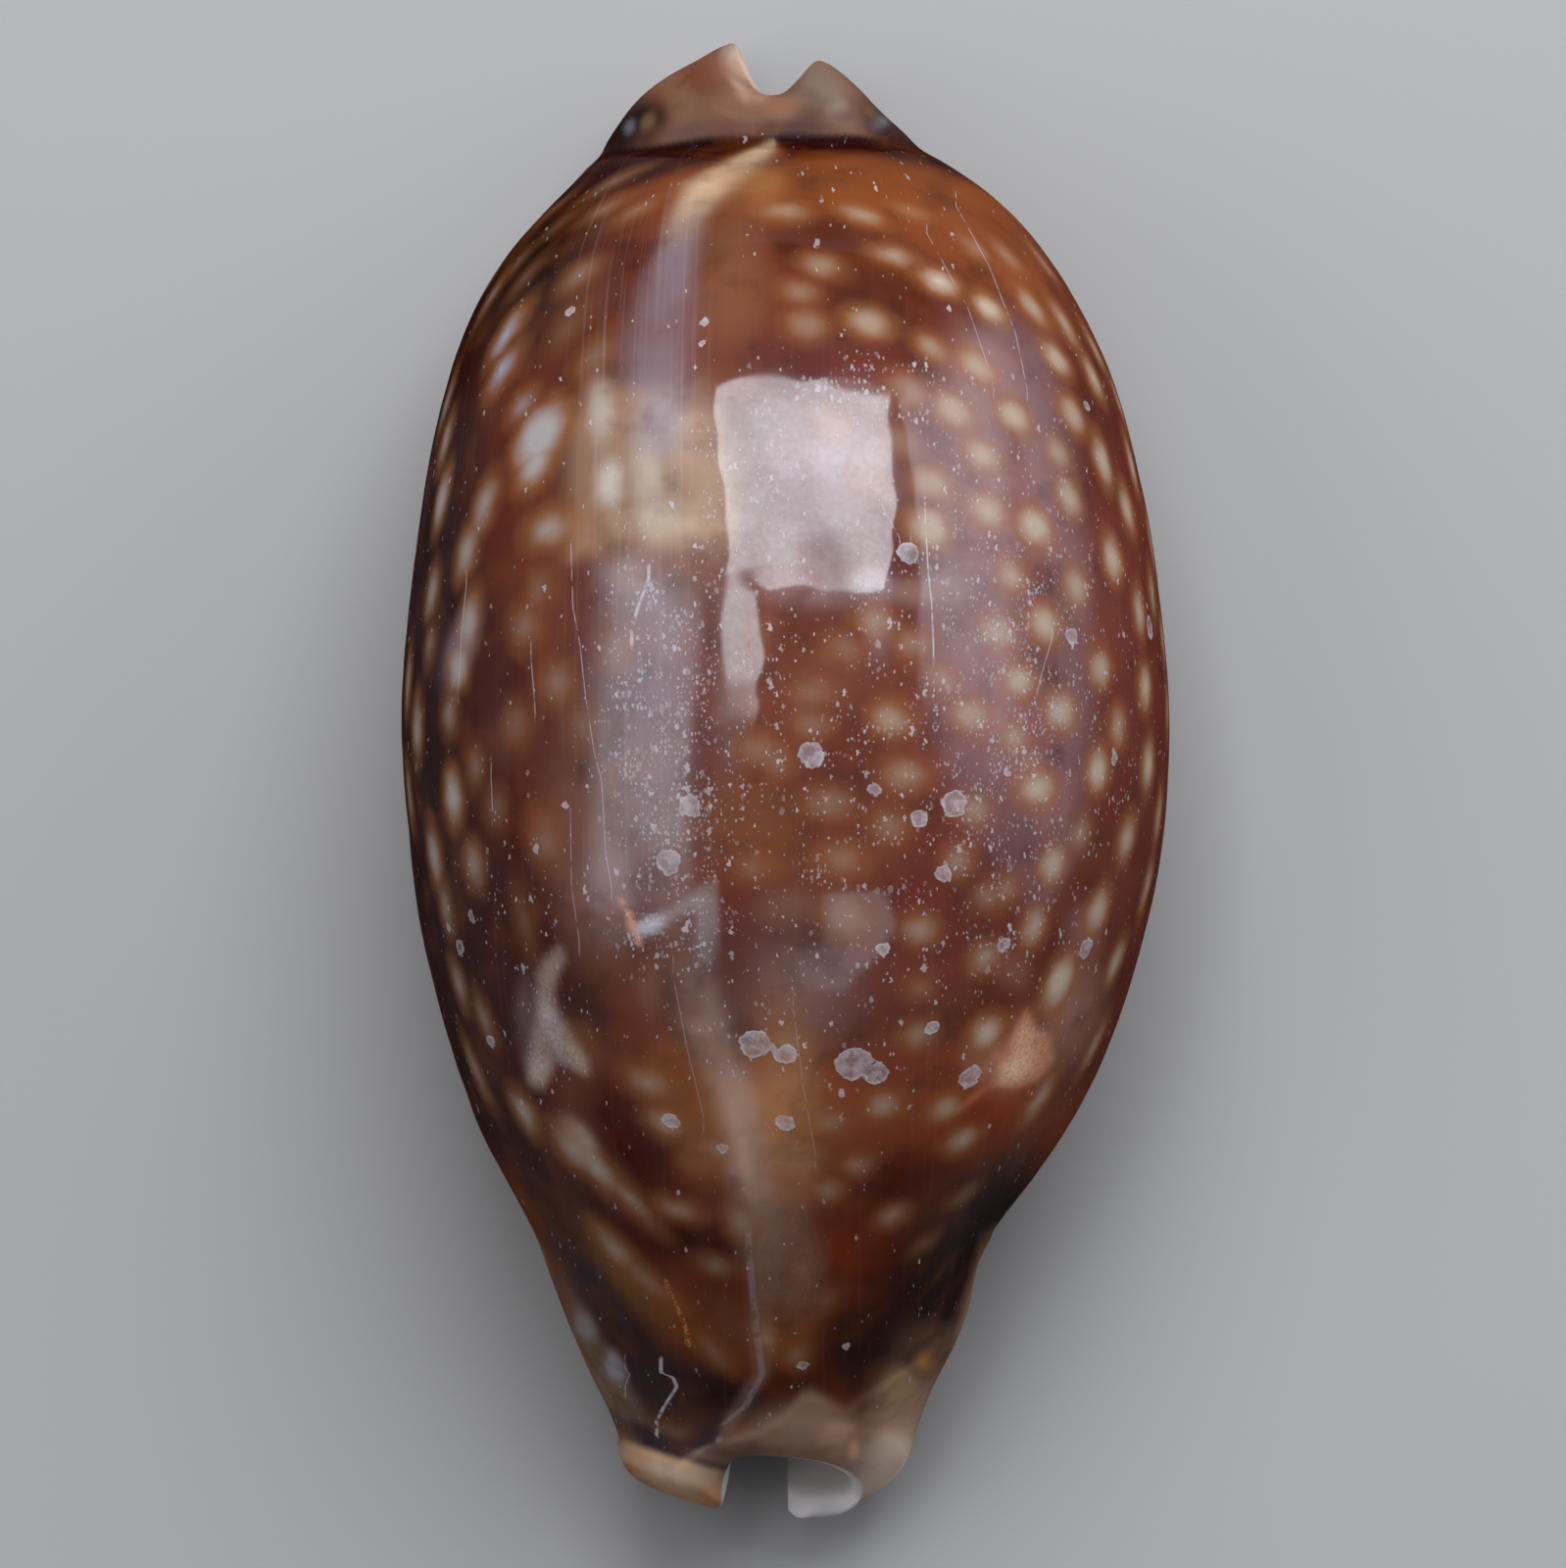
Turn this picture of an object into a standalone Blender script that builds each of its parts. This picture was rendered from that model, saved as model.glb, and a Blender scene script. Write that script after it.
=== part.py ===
"""A deer cowrie shell: one rolled sheet of shell, thick at its two toothed lips and thin over the back.

The shell rests on its base. +Y points to the posterior end, over the hidden spire, and -Y to the anterior
end. +X is the columellar side and -X the outer (labral) lip's side. The origin is under the middle.
The wall has an outer face and an inner face. Both run from the labral lip's edge, round the back, down to
the columellar lip, and on into the columella wall, which curls up inside the chamber. Each end of the rolled
sheet is a notched rim round a canal.
"""

import bmesh
import bpy
import numpy as np

MM = 0.001

# Driving sizes, in millimetres.
REACH = 40.0  # from the middle to the tip at either end
WALL_BACK = 1.9
WALL_SIDE = 3.0
LIP_HEIGHT = 3.1
LIP_ROLL = 3.6
LIP_ROLL_LEAST = 0.8
LIP_FROM_EDGE = 1.0
CONTACT_DEPTH = 0.14  # how far the base is worn flat where it touches the ground
LABRAL_TEETH = 29
COLUMELLAR_TEETH = 25
TOOTH_HEIGHT = 0.75
NOSE = 1.7  # how far back from a rim its rounding starts
RIM_SIDE = 0.3  # where the rim lies within the wall: 0 on the inner face, 1 on the outer
CANAL_ROOF = 2.2  # the wall over the canal at either end
CANAL_HEIGHT = 4.4
LABRAL_SHELF = 6.2  # how thick the wall is inside the chamber, over the base, on either side of the slit
COLUMELLAR_SHELF = 4.4
COLUMELLA_WALL = 1.5

RINGS = 190
TRIANGLES = 9600

# Where each stretch of the wall ends, as a share of the way round, for the outer and the inner face alike,
# and how many columns of faces it has.
LIP, BASE, TOP, SIDE, BASE_2, LIP_2 = 0.07, 0.19, 0.41, 0.63, 0.76, 0.84
STRIPS = (
    (0, LIP, 8),
    (LIP, BASE, 6),
    (BASE, TOP, 16),
    (TOP, SIDE, 16),
    (SIDE, BASE_2, 6),
    (BASE_2, LIP_2, 8),
    (LIP_2, 1, 9),
)


def smooth_line(points):
    """A curve with continuous curvature through (station, value) points."""
    x, f = np.array(points, float).T
    h, n = np.diff(x), len(x)
    rows, right = np.eye(n), np.zeros(n)
    for i in range(1, n - 1):
        rows[i, i - 1 : i + 2] = h[i - 1], 2 * (h[i - 1] + h[i]), h[i]
        right[i] = 6 * ((f[i + 1] - f[i]) / h[i] - (f[i] - f[i - 1]) / h[i - 1])
    bend = np.linalg.solve(rows, right)

    def value(at):
        at = np.clip(at, x[0], x[-1])
        i = np.clip(np.searchsorted(x, at) - 1, 0, n - 2)
        before, after, step = at - x[i], x[i + 1] - at, h[i]
        bent = (bend[i] * after**3 + bend[i + 1] * before**3) / (6 * step)
        near = (f[i] / step - bend[i] * step / 6) * after
        return bent + near + (f[i + 1] / step - bend[i + 1] * step / 6) * before

    return value


def ease(x, low, high):
    """0 below low, 1 above high, and a smooth step between them."""
    t = np.clip((x - low) / (high - low), 0, 1)
    return t * t * (3 - 2 * t)


# The plan outline on the labral and the columellar side of the long axis.
labral_half = smooth_line(
    [(-40, 3.6), (-39.2, 5.6), (-38.3, 7.6), (-37.4, 8.6), (-35.6, 9.15), (-32.5, 10.5), (-28, 12.4),
     (-24, 13.9), (-20, 16.1), (-15.5, 17.8), (-9, 19.6), (-3, 20.4), (4, 20.8), (10, 20.4), (16, 19.6),
     (22, 18.2), (27, 16.1), (31, 13.0), (33.5, 10.7), (35.4, 9.3), (37.6, 7.5), (39, 5.5), (40, 4.0)]
)
columellar_half = smooth_line(
    [(-40, 1.8), (-39.6, 3.2), (-38.7, 5.1), (-37.5, 6.3), (-35, 7.3), (-32, 8.5), (-28.5, 9.9), (-26, 10.5),
     (-23, 12.4), (-18, 15.8), (-12, 18.4), (-6, 20.0), (2.5, 20.85), (9, 20.4), (15, 19.5), (21, 18.0),
     (26, 15.8), (30, 13.1), (32.6, 10.2), (34.2, 7.8), (35.5, 6.2), (37, 4.7), (38.4, 3.55), (40, 2.0)]
)
# Heights: the back, the collar behind it at the posterior end, and the widest level of the cross-section.
back_line = smooth_line(
    [(-40, 8.2), (-36.6, 10.9), (-33, 14.2), (-27, 20.2), (-20, 26.2), (-12, 30.6), (-4, 32.9), (4, 33.5),
     (12, 32.6), (20, 29.7), (27, 25.0), (31.2, 20.3), (33.4, 15.6), (34.4, 11.6), (35.2, 6.0), (40, -12)]
)
collar_line = smooth_line([(20, 12), (33, 11.1), (35, 10.7), (37.3, 10.2), (40, 9.4)])
margin_line = smooth_line(
    [(-40, 4.6), (-35, 5.2), (-28, 7.4), (-18, 10.2), (0, 11.6), (18, 10.8), (28, 8.8), (35, 6.2),
     (40, 4.8)]
)
# The slit between the two lips, and how far each end's rim reaches for each share of the way round.
slit_centre = smooth_line(
    [(-40, -1.7), (-36, -1.6), (-28, -2.4), (-15, -3.4), (0, -3.7), (15, -3.3), (28, -2.1), (36, -0.7),
     (40, -0.4)]
)
slit_half = smooth_line(
    [(-40, 1.85), (-36, 1.75), (-31, 2.6), (-24, 3.7), (-12, 3.5), (5, 3.2), (20, 2.9), (30, 2.3),
     (36, 1.8), (40, 2.05)]
)
posterior_rim = smooth_line(
    [(0, 38.7), (0.12, 39.8), (0.19, 40.0), (0.25, 39.9), (0.28, 39.4), (0.33, 38.3), (0.365, 37.4),
     (0.395, 37.15), (0.42, 37.3), (0.45, 37.8), (0.49, 38.55), (0.53, 39.0), (0.57, 39.05), (0.62, 38.8),
     (0.72, 38.6), (0.84, 37.9), (1, 37.6)]
)
anterior_rim = smooth_line(
    [(0, -38.4), (0.1, -39.1), (0.19, -39.4), (0.27, -39.4), (0.32, -38.6), (0.35, -37.2), (0.375, -36.65),
     (0.41, -36.5), (0.46, -36.6), (0.52, -37.0), (0.56, -37.6), (0.60, -38.5), (0.64, -39.4), (0.70, -39.9),
     (0.77, -40.0), (0.84, -40.05), (0.92, -40.0), (1, -39.6)]
)


def arc(centre_x, centre_z, across, up, start, end, share, fullness=2.0):
    """Points on part of a superellipse. Angles are in degrees, and share runs from 0 to 1."""
    angle = np.radians(start + (end - start) * share)
    c, s, power = np.cos(angle), np.sin(angle), 2 / fullness
    x = centre_x + across * np.sign(c) * np.abs(c) ** power
    return x, centre_z + up * np.sign(s) * np.abs(s) ** power


def teeth(y, count, low, high, wander):
    """The ridges along a lip: 1 on a tooth's crest and a little under 0 in the gaps between teeth."""
    turns = (y - low) / (high - low) * count + wander * np.sin(y * 0.45)
    wave = np.cos(2 * np.pi * turns)
    ridge = np.where(wave > 0, np.abs(wave) ** 0.8, -0.35 * np.abs(wave))
    return TOOTH_HEIGHT * ridge * ease(y, low, low + 2.5) * (1 - ease(y, high - 2.5, high))


class Section:
    """Every size of the cross-section at the distances y along the shell."""

    def __init__(self, y):
        self.y = y
        self.left, self.right = labral_half(y), columellar_half(y)
        back, collar = back_line(y), collar_line(y)
        self.top = (back + collar + np.sqrt((back - collar) ** 2 + 0.5)) / 2
        self.margin = margin_line(y)
        self.ground = 2.2 * ease(np.abs(y), 21, 42)
        self.base = self.ground - CONTACT_DEPTH
        self.lip_top = self.base + LIP_HEIGHT * (1 - 0.35 * ease(np.abs(y), 34, 40))
        self.left_edge = slit_centre(y) - slit_half(y)
        self.right_edge = slit_centre(y) + slit_half(y)
        self.labral_roll = np.clip(self.left + self.left_edge - LIP_FROM_EDGE, LIP_ROLL_LEAST, LIP_ROLL)
        self.columellar_roll = np.clip(self.right - self.right_edge - LIP_FROM_EDGE, LIP_ROLL_LEAST, LIP_ROLL)
        self.full = 1 - ease(np.abs(y), 27, 34)  # 1 along the chamber, 0 in the canals
        curl = 1 - ease(np.abs(y + 1), 12, 29)
        self.curl_across, self.curl_up = 2.2 + 5.3 * curl, 2.2 + 7.8 * curl
        self.curl_low = self.lip_top + 0.9 + 2.6 * curl
        self.curl_end = 90 - 45 * curl
        self.roof = np.minimum(self.top - CANAL_ROOF, self.lip_top + CANAL_HEIGHT)
        self.canal = self.roof - self.lip_top
        self.labral_tooth = teeth(y, LABRAL_TEETH, -31.5, 33, 0.25)
        self.columellar_tooth = teeth(y, COLUMELLAR_TEETH, -30.5, 31.5, -0.3)


def mix(a, b, share):
    return tuple(p + (q - p) * share for p, q in zip(a, b))


def outer_face(s, around):
    left_crest, right_crest = s.left_edge - s.labral_roll, s.right_edge + s.columellar_roll
    below, above = s.margin - s.base, s.top - s.margin

    def labral_lip(t):
        tooth = s.labral_tooth * (1 - ease(t, 0.25, 0.8))
        return arc(left_crest, s.lip_top, s.labral_roll + tooth, s.lip_top - s.base + tooth, 0, -90, t)

    def columellar_lip(t):
        tooth = s.columellar_tooth * ease(t, 0.2, 0.75)
        across, down = s.columellar_roll + tooth, s.lip_top - s.base + tooth
        return arc(right_crest, s.lip_top, across, down, -90, -180, t)

    def columella(t):
        straight = 0.25
        tooth = s.columellar_tooth * (1 - ease(t, 0.0, straight))
        foot = s.right_edge + s.curl_across
        turn = np.clip((t - straight) / (1 - straight), 0, 1)
        x, z = arc(foot, s.curl_low, s.curl_across, s.curl_up, 180, s.curl_end, turn)
        rising = s.lip_top + (s.curl_low - s.lip_top) * np.clip(t / straight, 0, 1)
        chamber = np.where(t < straight, s.right_edge - tooth, x), np.where(t < straight, rising, z)
        return mix((s.right_edge, s.lip_top + 0.07 * s.canal * t), chamber, s.full)

    strips = (
        labral_lip,
        lambda t: arc(left_crest, s.margin, s.left + left_crest, below, -90, -180, t, 2.25),
        lambda t: arc(0, s.margin, s.left, above, 180, 90, t, 2.1),
        lambda t: arc(0, s.margin, s.right, above, 90, 0, t, 2.1),
        lambda t: arc(right_crest, s.margin, s.right - right_crest, below, 0, -90, t, 2.25),
        columellar_lip,
        columella,
    )
    x, z = lay_out(strips, s.y, around)
    return x, np.maximum(z, s.ground)


def inner_face(s, around):
    shoulder = 3.2
    side = WALL_SIDE + 2.0 * ease(np.abs(s.y), 20, 34)
    wall_left, wall_right = s.left - side, s.right - side
    ceiling = s.top - WALL_BACK - ease(np.abs(s.y), 18, 33)
    foot = s.right_edge + s.curl_across
    floor_left = s.base + LABRAL_SHELF
    floor_right = np.minimum(s.base + COLUMELLAR_SHELF, s.curl_low - 0.8)
    middle = np.maximum(s.margin + 1.0, floor_left + 1.5)
    spring = s.lip_top + 0.45 * s.canal
    seam = s.lip_top + 0.14 * s.canal
    flare = 0.3 + 3.4 * (1 - ease(s.y, -38.5, -34))  # the anterior canal opens out to the columellar side
    far = s.right_edge + flare
    lean = 0.12 + 0.38 * ease(s.y, -36, 0)  # where the canal's arch is highest, as a share of its width
    roof_centre = s.left_edge + (far - s.left_edge) * lean
    start = s.lip_top + 0.5
    curl_inside = s.curl_across - COLUMELLA_WALL

    def lip_inside(t):
        tooth = s.labral_tooth * (1 - ease(t, 0.0, 0.45))
        return arc(s.left_edge - shoulder, start, shoulder + tooth, floor_left - start, 0, 90, t)

    def up_left(low, high):
        return lambda t: (s.left_edge + 0 * t, seam + (spring - seam) * (low + (high - low) * t))

    def down_right(low, high):
        def points(t):
            at = low + (high - low) * t
            return far + (s.right_edge - far) * at, spring + (seam - spring) * at

        return points

    chamber = (
        lip_inside,
        lambda t: arc(s.left_edge - shoulder, middle, wall_left + s.left_edge - shoulder, middle - floor_left,
                      -90, -180, t, 2.2),
        lambda t: arc(0, middle, wall_left, ceiling - middle, 180, 90, t, 2.1),
        lambda t: arc(0, middle, wall_right, ceiling - middle, 90, 0, t, 2.1),
        lambda t: arc(foot, middle, wall_right - foot, middle - floor_right, 0, -90, t, 2.2),
        lambda t: arc(foot, s.curl_low, curl_inside, s.curl_low - floor_right, -90, -180, t, 2.2),
        lambda t: arc(foot, s.curl_low, curl_inside, s.curl_up - COLUMELLA_WALL, 180, s.curl_end, t),
    )
    canal = (
        up_left(0, 0.4),
        up_left(0.4, 1),
        lambda t: arc(roof_centre, spring, roof_centre - s.left_edge, s.roof - spring, 180, 90, t),
        lambda t: arc(roof_centre, spring, far - roof_centre, s.roof - spring, 90, 0, t),
        down_right(0, 0.4),
        down_right(0.4, 0.65),
        down_right(0.65, 1),
    )
    return mix(lay_out(canal, s.y, around), lay_out(chamber, s.y, around), s.full)


def lay_out(strips, y, around):
    """Each strip's points for its own columns, side by side."""
    x, z = np.zeros_like(y), np.zeros_like(y)
    for points, (low, high, _) in zip(strips, STRIPS):
        mine = (around >= low) & (around <= high)
        px, pz = np.broadcast_arrays(*points(np.clip((around - low) / (high - low), 0, 1) + 0 * y))
        x[:, mine], z[:, mine] = px[:, mine], pz[:, mine]
    return x, z


def wall(around, ahead):
    """Points of the outer and the inner face, each an array [ring, column, xyz]."""
    front, rear = anterior_rim(around)[None, :], posterior_rim(around)[None, :]
    y = front + (rear - front) * ahead[:, None]
    s = Section(y)
    outer, inner = (np.stack([x, y, z], axis=2) for x, z in (outer_face(s, around), inner_face(s, around)))
    rim = inner + RIM_SIDE * (outer - inner)
    inset = np.clip(np.minimum(y - front, rear - y) / NOSE, 0, 1)
    thickness = 0.1 + 0.9 * np.sqrt(1 - (1 - inset) ** 2)
    return [rim + (face - rim) * thickness[:, :, None] for face in (outer, inner)]


def closed_body(outer, inner):
    """A closed mesh from the two faces of the wall, joined along all four edges of the sheet."""
    bm = bmesh.new()
    faces = [[[bm.verts.new(point) for point in ring] for ring in face * MM] for face in (outer, inner)]
    for face in faces:
        for ring, following in zip(face, face[1:]):
            for i in range(len(ring) - 1):
                bm.faces.new((ring[i], ring[i + 1], following[i + 1], following[i]))
    out, into = faces
    rims = [(out[k], into[k]) for k in (0, -1)]
    rims += [([ring[k] for ring in out], [ring[k] for ring in into]) for k in (0, -1)]
    for a, b in rims:
        for i in range(len(a) - 1):
            bm.faces.new((a[i], a[i + 1], b[i + 1], b[i]))
    bmesh.ops.recalc_face_normals(bm, faces=bm.faces)
    return bm


def mesh_object(name, bm):
    mesh = bpy.data.meshes.new(name)
    bm.to_mesh(mesh)
    bm.free()
    thing = bpy.data.objects.new(name, mesh)
    bpy.context.scene.collection.objects.link(thing)
    return thing


for leftover in list(bpy.data.objects):
    bpy.data.objects.remove(leftover)

columns = [np.linspace(low, high, steps + 1)[1:] for low, high, steps in STRIPS]
around = np.concatenate([[0.0], *columns])
ahead = np.linspace(0, 1, RINGS)
ahead = ahead - 0.35 / (2 * np.pi) * np.sin(2 * np.pi * ahead)  # rings closer together towards both ends
fine = mesh_object("fine", closed_body(*wall(around, ahead)))
thin = fine.modifiers.new("thin", "DECIMATE")
thin.ratio = TRIANGLES / (4 * (RINGS - 1) * (len(around) - 1) + 4 * (RINGS + len(around) - 2))
lighter = fine.evaluated_get(bpy.context.evaluated_depsgraph_get()).to_mesh()
body = bmesh.new()
body.from_mesh(lighter)
bpy.data.objects.remove(fine)

# Set the worn facets of the base exactly level, and centre the shell over the origin.
for vert in body.verts:
    if vert.co.z < 0.03 * MM:
        vert.co.z = 0
for axis in (0, 1):
    spread = [vert.co[axis] for vert in body.verts]
    middle = (min(spread) + max(spread)) / 2
    for vert in body.verts:
        vert.co[axis] -= middle
shell = mesh_object("shell", body)
porcelain = bpy.data.materials.new("porcelain")
porcelain.use_nodes = True
surface = porcelain.node_tree.nodes["Principled BSDF"]
surface.inputs["Base Color"].default_value = (0.34, 0.15, 0.07, 1)
surface.inputs["Roughness"].default_value = 0.25
surface.inputs["Metallic"].default_value = 0
shell.data.materials.append(porcelain)
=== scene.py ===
import bpy
import numpy as np
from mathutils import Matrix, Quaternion, Vector


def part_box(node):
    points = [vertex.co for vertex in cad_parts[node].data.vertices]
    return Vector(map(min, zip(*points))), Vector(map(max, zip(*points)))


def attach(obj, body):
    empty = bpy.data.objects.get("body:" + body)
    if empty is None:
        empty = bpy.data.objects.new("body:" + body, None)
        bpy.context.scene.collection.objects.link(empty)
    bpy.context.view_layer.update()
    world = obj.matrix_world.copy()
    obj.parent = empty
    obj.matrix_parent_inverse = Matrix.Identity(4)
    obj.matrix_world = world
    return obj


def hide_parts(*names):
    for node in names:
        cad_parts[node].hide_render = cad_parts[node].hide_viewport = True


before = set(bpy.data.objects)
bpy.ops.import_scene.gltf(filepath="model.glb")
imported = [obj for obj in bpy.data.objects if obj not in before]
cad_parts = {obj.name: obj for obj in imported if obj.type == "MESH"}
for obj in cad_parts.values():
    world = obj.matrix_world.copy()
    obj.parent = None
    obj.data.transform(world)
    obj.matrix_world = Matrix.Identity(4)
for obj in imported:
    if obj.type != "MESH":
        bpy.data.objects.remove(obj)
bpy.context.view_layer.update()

# The form of the shell. The animal lays it down as one rolled sheet of aragonite, thick at its two toothed
# lips and thin over the back, with a notched canal at either end. Sizes are in millimetres: x runs across the
# shell, y along it to the posterior end, and z up.
MM = 0.001
WALL_BACK, WALL_SIDE, LIP_THICK, CURL_THICK = 1.9, 3.0, 3.2, 1.5
LIP_HEIGHT, LIP_ROLL, LEAST_ROLL = 3.1, 3.6, 0.8
LABRAL_DEPTH, COLUMELLAR_DEPTH = 6.2, 4.4
CANAL_FROM, CANAL_TO, ROOF_THICK, CANAL_HEIGHT = 27, 34, 2.2, 4.4
END_LIFT, CONTACT_DEPTH = 2.2, 0.14
BACK_FULLNESS, BASE_FULLNESS, CHAMBER_FULLNESS = 2.1, 2.25, 2.2
LABRAL_TEETH, COLUMELLAR_TEETH, TOOTH_HEIGHT = 29, 25, 0.75
NOSE, RIM_SIDE, RIM_THICK = 1.7, 0.3, 0.1
# Places round the sheet run from 0 at the labral lip's inner edge to 1 at the columella's. Each strip has the
# places where it starts and ends, and its number of columns.
LIP, BASE, TOP, SIDE, BASE_2, LIP_2 = 0.07, 0.19, 0.41, 0.63, 0.76, 0.84
STRIPS = (
    (0, LIP, 16), (LIP, BASE, 16), (BASE, TOP, 80), (TOP, SIDE, 80), (SIDE, BASE_2, 16), (BASE_2, LIP_2, 16),
    (LIP_2, 1, 18),
)
RINGS, END_CROWDING = 300, 0.35


def smooth_line(points):
    """A curve with continuous curvature through (station, value) points."""
    x, f = np.array(points, float).T
    h, n = np.diff(x), len(x)
    rows, right = np.eye(n), np.zeros(n)
    for i in range(1, n - 1):
        rows[i, i - 1 : i + 2] = h[i - 1], 2 * (h[i - 1] + h[i]), h[i]
        right[i] = 6 * ((f[i + 1] - f[i]) / h[i] - (f[i] - f[i - 1]) / h[i - 1])
    bend = np.linalg.solve(rows, right)

    def value(at):
        at = np.clip(at, x[0], x[-1])
        i = np.clip(np.searchsorted(x, at) - 1, 0, n - 2)
        before, after, step = at - x[i], x[i + 1] - at, h[i]
        bent = (bend[i] * after**3 + bend[i + 1] * before**3) / (6 * step)
        near = (f[i] / step - bend[i] * step / 6) * after
        return bent + near + (f[i + 1] / step - bend[i + 1] * step / 6) * before

    return value


def ease(x, low, high):
    """0 below low, 1 above high, and a smooth step between them."""
    t = np.clip((x - low) / (high - low), 0, 1)
    return t * t * (3 - 2 * t)


labral_half = smooth_line(
    [(-40, 3.6), (-39.2, 5.6), (-38.3, 7.6), (-37.4, 8.6), (-35.6, 9.15), (-32.5, 10.5), (-28, 12.4),
     (-24, 13.9), (-20, 16.1), (-15.5, 17.8), (-9, 19.6), (-3, 20.4), (4, 20.8), (10, 20.4), (16, 19.6),
     (22, 18.2), (27, 16.1), (31, 13), (33.5, 10.7), (35.4, 9.3), (37.6, 7.5), (39, 5.5), (40, 4)]
)
columellar_half = smooth_line(
    [(-40, 1.8), (-39.6, 3.2), (-38.7, 5.1), (-37.5, 6.3), (-35, 7.3), (-32, 8.5), (-28.5, 9.9),
     (-26, 10.5), (-23, 12.4), (-18, 15.8), (-12, 18.4), (-6, 20), (2.5, 20.85), (9, 20.4), (15, 19.5),
     (21, 18), (26, 15.8), (30, 13.1), (32.6, 10.2), (34.2, 7.8), (35.5, 6.2), (37, 4.7), (38.4, 3.55),
     (40, 2)]
)
back_line = smooth_line(
    [(-40, 8.2), (-36.6, 10.9), (-33, 14.2), (-27, 20.2), (-20, 26.2), (-12, 30.6), (-4, 32.9), (4, 33.5),
     (12, 32.6), (20, 29.7), (27, 25), (31.2, 20.3), (33.4, 15.6), (34.4, 11.6), (35.2, 6), (40, -12)]
)
collar_line = smooth_line([(20, 12), (33, 11.1), (35, 10.7), (37.3, 10.2), (40, 9.4)])
margin_line = smooth_line(
    [(-40, 4.6), (-35, 5.2), (-28, 7.4), (-18, 10.2), (0, 11.6), (18, 10.8), (28, 8.8), (35, 6.2),
     (40, 4.8)]
)
slit_centre = smooth_line(
    [(-40, -1.7), (-36, -1.6), (-28, -2.4), (-15, -3.4), (0, -3.7), (15, -3.3), (28, -2.1), (36, -0.7),
     (40, -0.4)]
)
slit_half = smooth_line(
    [(-40, 1.85), (-36, 1.75), (-31, 2.6), (-24, 3.7), (-12, 3.5), (5, 3.2), (20, 2.9), (30, 2.3),
     (36, 1.8), (40, 2.05)]
)
posterior_rim = smooth_line(
    [(0, 38.7), (0.12, 39.8), (0.19, 40), (0.25, 39.9), (0.28, 39.4), (0.33, 38.3), (0.365, 37.4),
     (0.395, 37.15), (0.42, 37.3), (0.45, 37.8), (0.49, 38.55), (0.53, 39), (0.57, 39.05), (0.62, 38.8),
     (0.72, 38.6), (0.84, 37.9), (1, 37.6)]
)
anterior_rim = smooth_line(
    [(0, -38.4), (0.1, -39.1), (0.19, -39.4), (0.27, -39.4), (0.32, -38.6), (0.35, -37.2), (0.375, -36.65),
     (0.41, -36.5), (0.46, -36.6), (0.52, -37), (0.56, -37.6), (0.6, -38.5), (0.64, -39.4), (0.7, -39.9),
     (0.77, -40), (0.84, -40.05), (0.92, -40), (1, -39.6)]
)


def arc(centre_x, centre_z, across, up, start, end, share, fullness=2.0):
    """Points on part of a superellipse. Angles are in degrees, and share runs from 0 to 1."""
    angle = np.radians(start + (end - start) * share)
    c, s, power = np.cos(angle), np.sin(angle), 2 / fullness
    x = centre_x + across * np.sign(c) * np.abs(c) ** power
    return x, centre_z + up * np.sign(s) * np.abs(s) ** power


def teeth(y, count, low, high, wander):
    """The ridges along a lip: 1 on a tooth's crest and a little under 0 in the gaps between teeth."""
    turns = (y - low) / (high - low) * count + wander * np.sin(y * 0.45)
    wave = np.cos(2 * np.pi * turns)
    ridge = np.where(wave > 0, np.abs(wave) ** 0.8, -0.35 * np.abs(wave))
    return ridge * ease(y, low, low + 2.5) * (1 - ease(y, high - 2.5, high))


class Section:
    """Every size of the cross-section at the distances y along the shell."""

    def __init__(self, y):
        self.y = y
        self.left, self.right = labral_half(y), columellar_half(y)
        back, collar = back_line(y), collar_line(y)
        self.top = (back + collar + np.sqrt((back - collar) ** 2 + 0.5)) / 2
        self.margin = margin_line(y)
        self.ground = END_LIFT * ease(np.abs(y), 21, 42)
        self.base = self.ground - CONTACT_DEPTH
        self.lip_top = self.base + LIP_HEIGHT * (1 - 0.35 * ease(np.abs(y), 34, 40))
        self.left_edge = slit_centre(y) - slit_half(y)
        self.right_edge = slit_centre(y) + slit_half(y)
        self.labral_roll = np.clip(self.left + self.left_edge - 1, LEAST_ROLL, LIP_ROLL)
        self.columellar_roll = np.clip(self.right - self.right_edge - 1, LEAST_ROLL, LIP_ROLL)
        self.full = 1 - ease(np.abs(y), CANAL_FROM, CANAL_TO)
        curl = 1 - ease(np.abs(y + 1), 12, 29)
        self.curl_across, self.curl_up = 2.2 + 5.3 * curl, 2.2 + 7.8 * curl
        self.curl_low = self.lip_top + 0.9 + 2.6 * curl
        self.curl_end = 90 - 45 * curl
        self.roof = np.minimum(self.top - ROOF_THICK, self.lip_top + CANAL_HEIGHT)
        self.canal = self.roof - self.lip_top
        self.labral_tooth = TOOTH_HEIGHT * teeth(y, LABRAL_TEETH, -31.5, 33, 0.25)
        self.columellar_tooth = TOOTH_HEIGHT * teeth(y, COLUMELLAR_TEETH, -30.5, 31.5, -0.3)


def mix(a, b, share):
    """The point, or the grid of points, that lies at this share of the way from a to b."""
    return tuple(p + (q - p) * share for p, q in zip(a, b))


def lay_out(strips, y, around):
    """Each strip's points for its own columns, side by side."""
    x, z = np.zeros_like(y), np.zeros_like(y)
    for points, (low, high, _) in zip(strips, STRIPS):
        mine = (around >= low) & (around <= high)
        px, pz = np.broadcast_arrays(*points(np.clip((around - low) / (high - low), 0, 1) + 0 * y))
        x[:, mine], z[:, mine] = px[:, mine], pz[:, mine]
    return x, z


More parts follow.
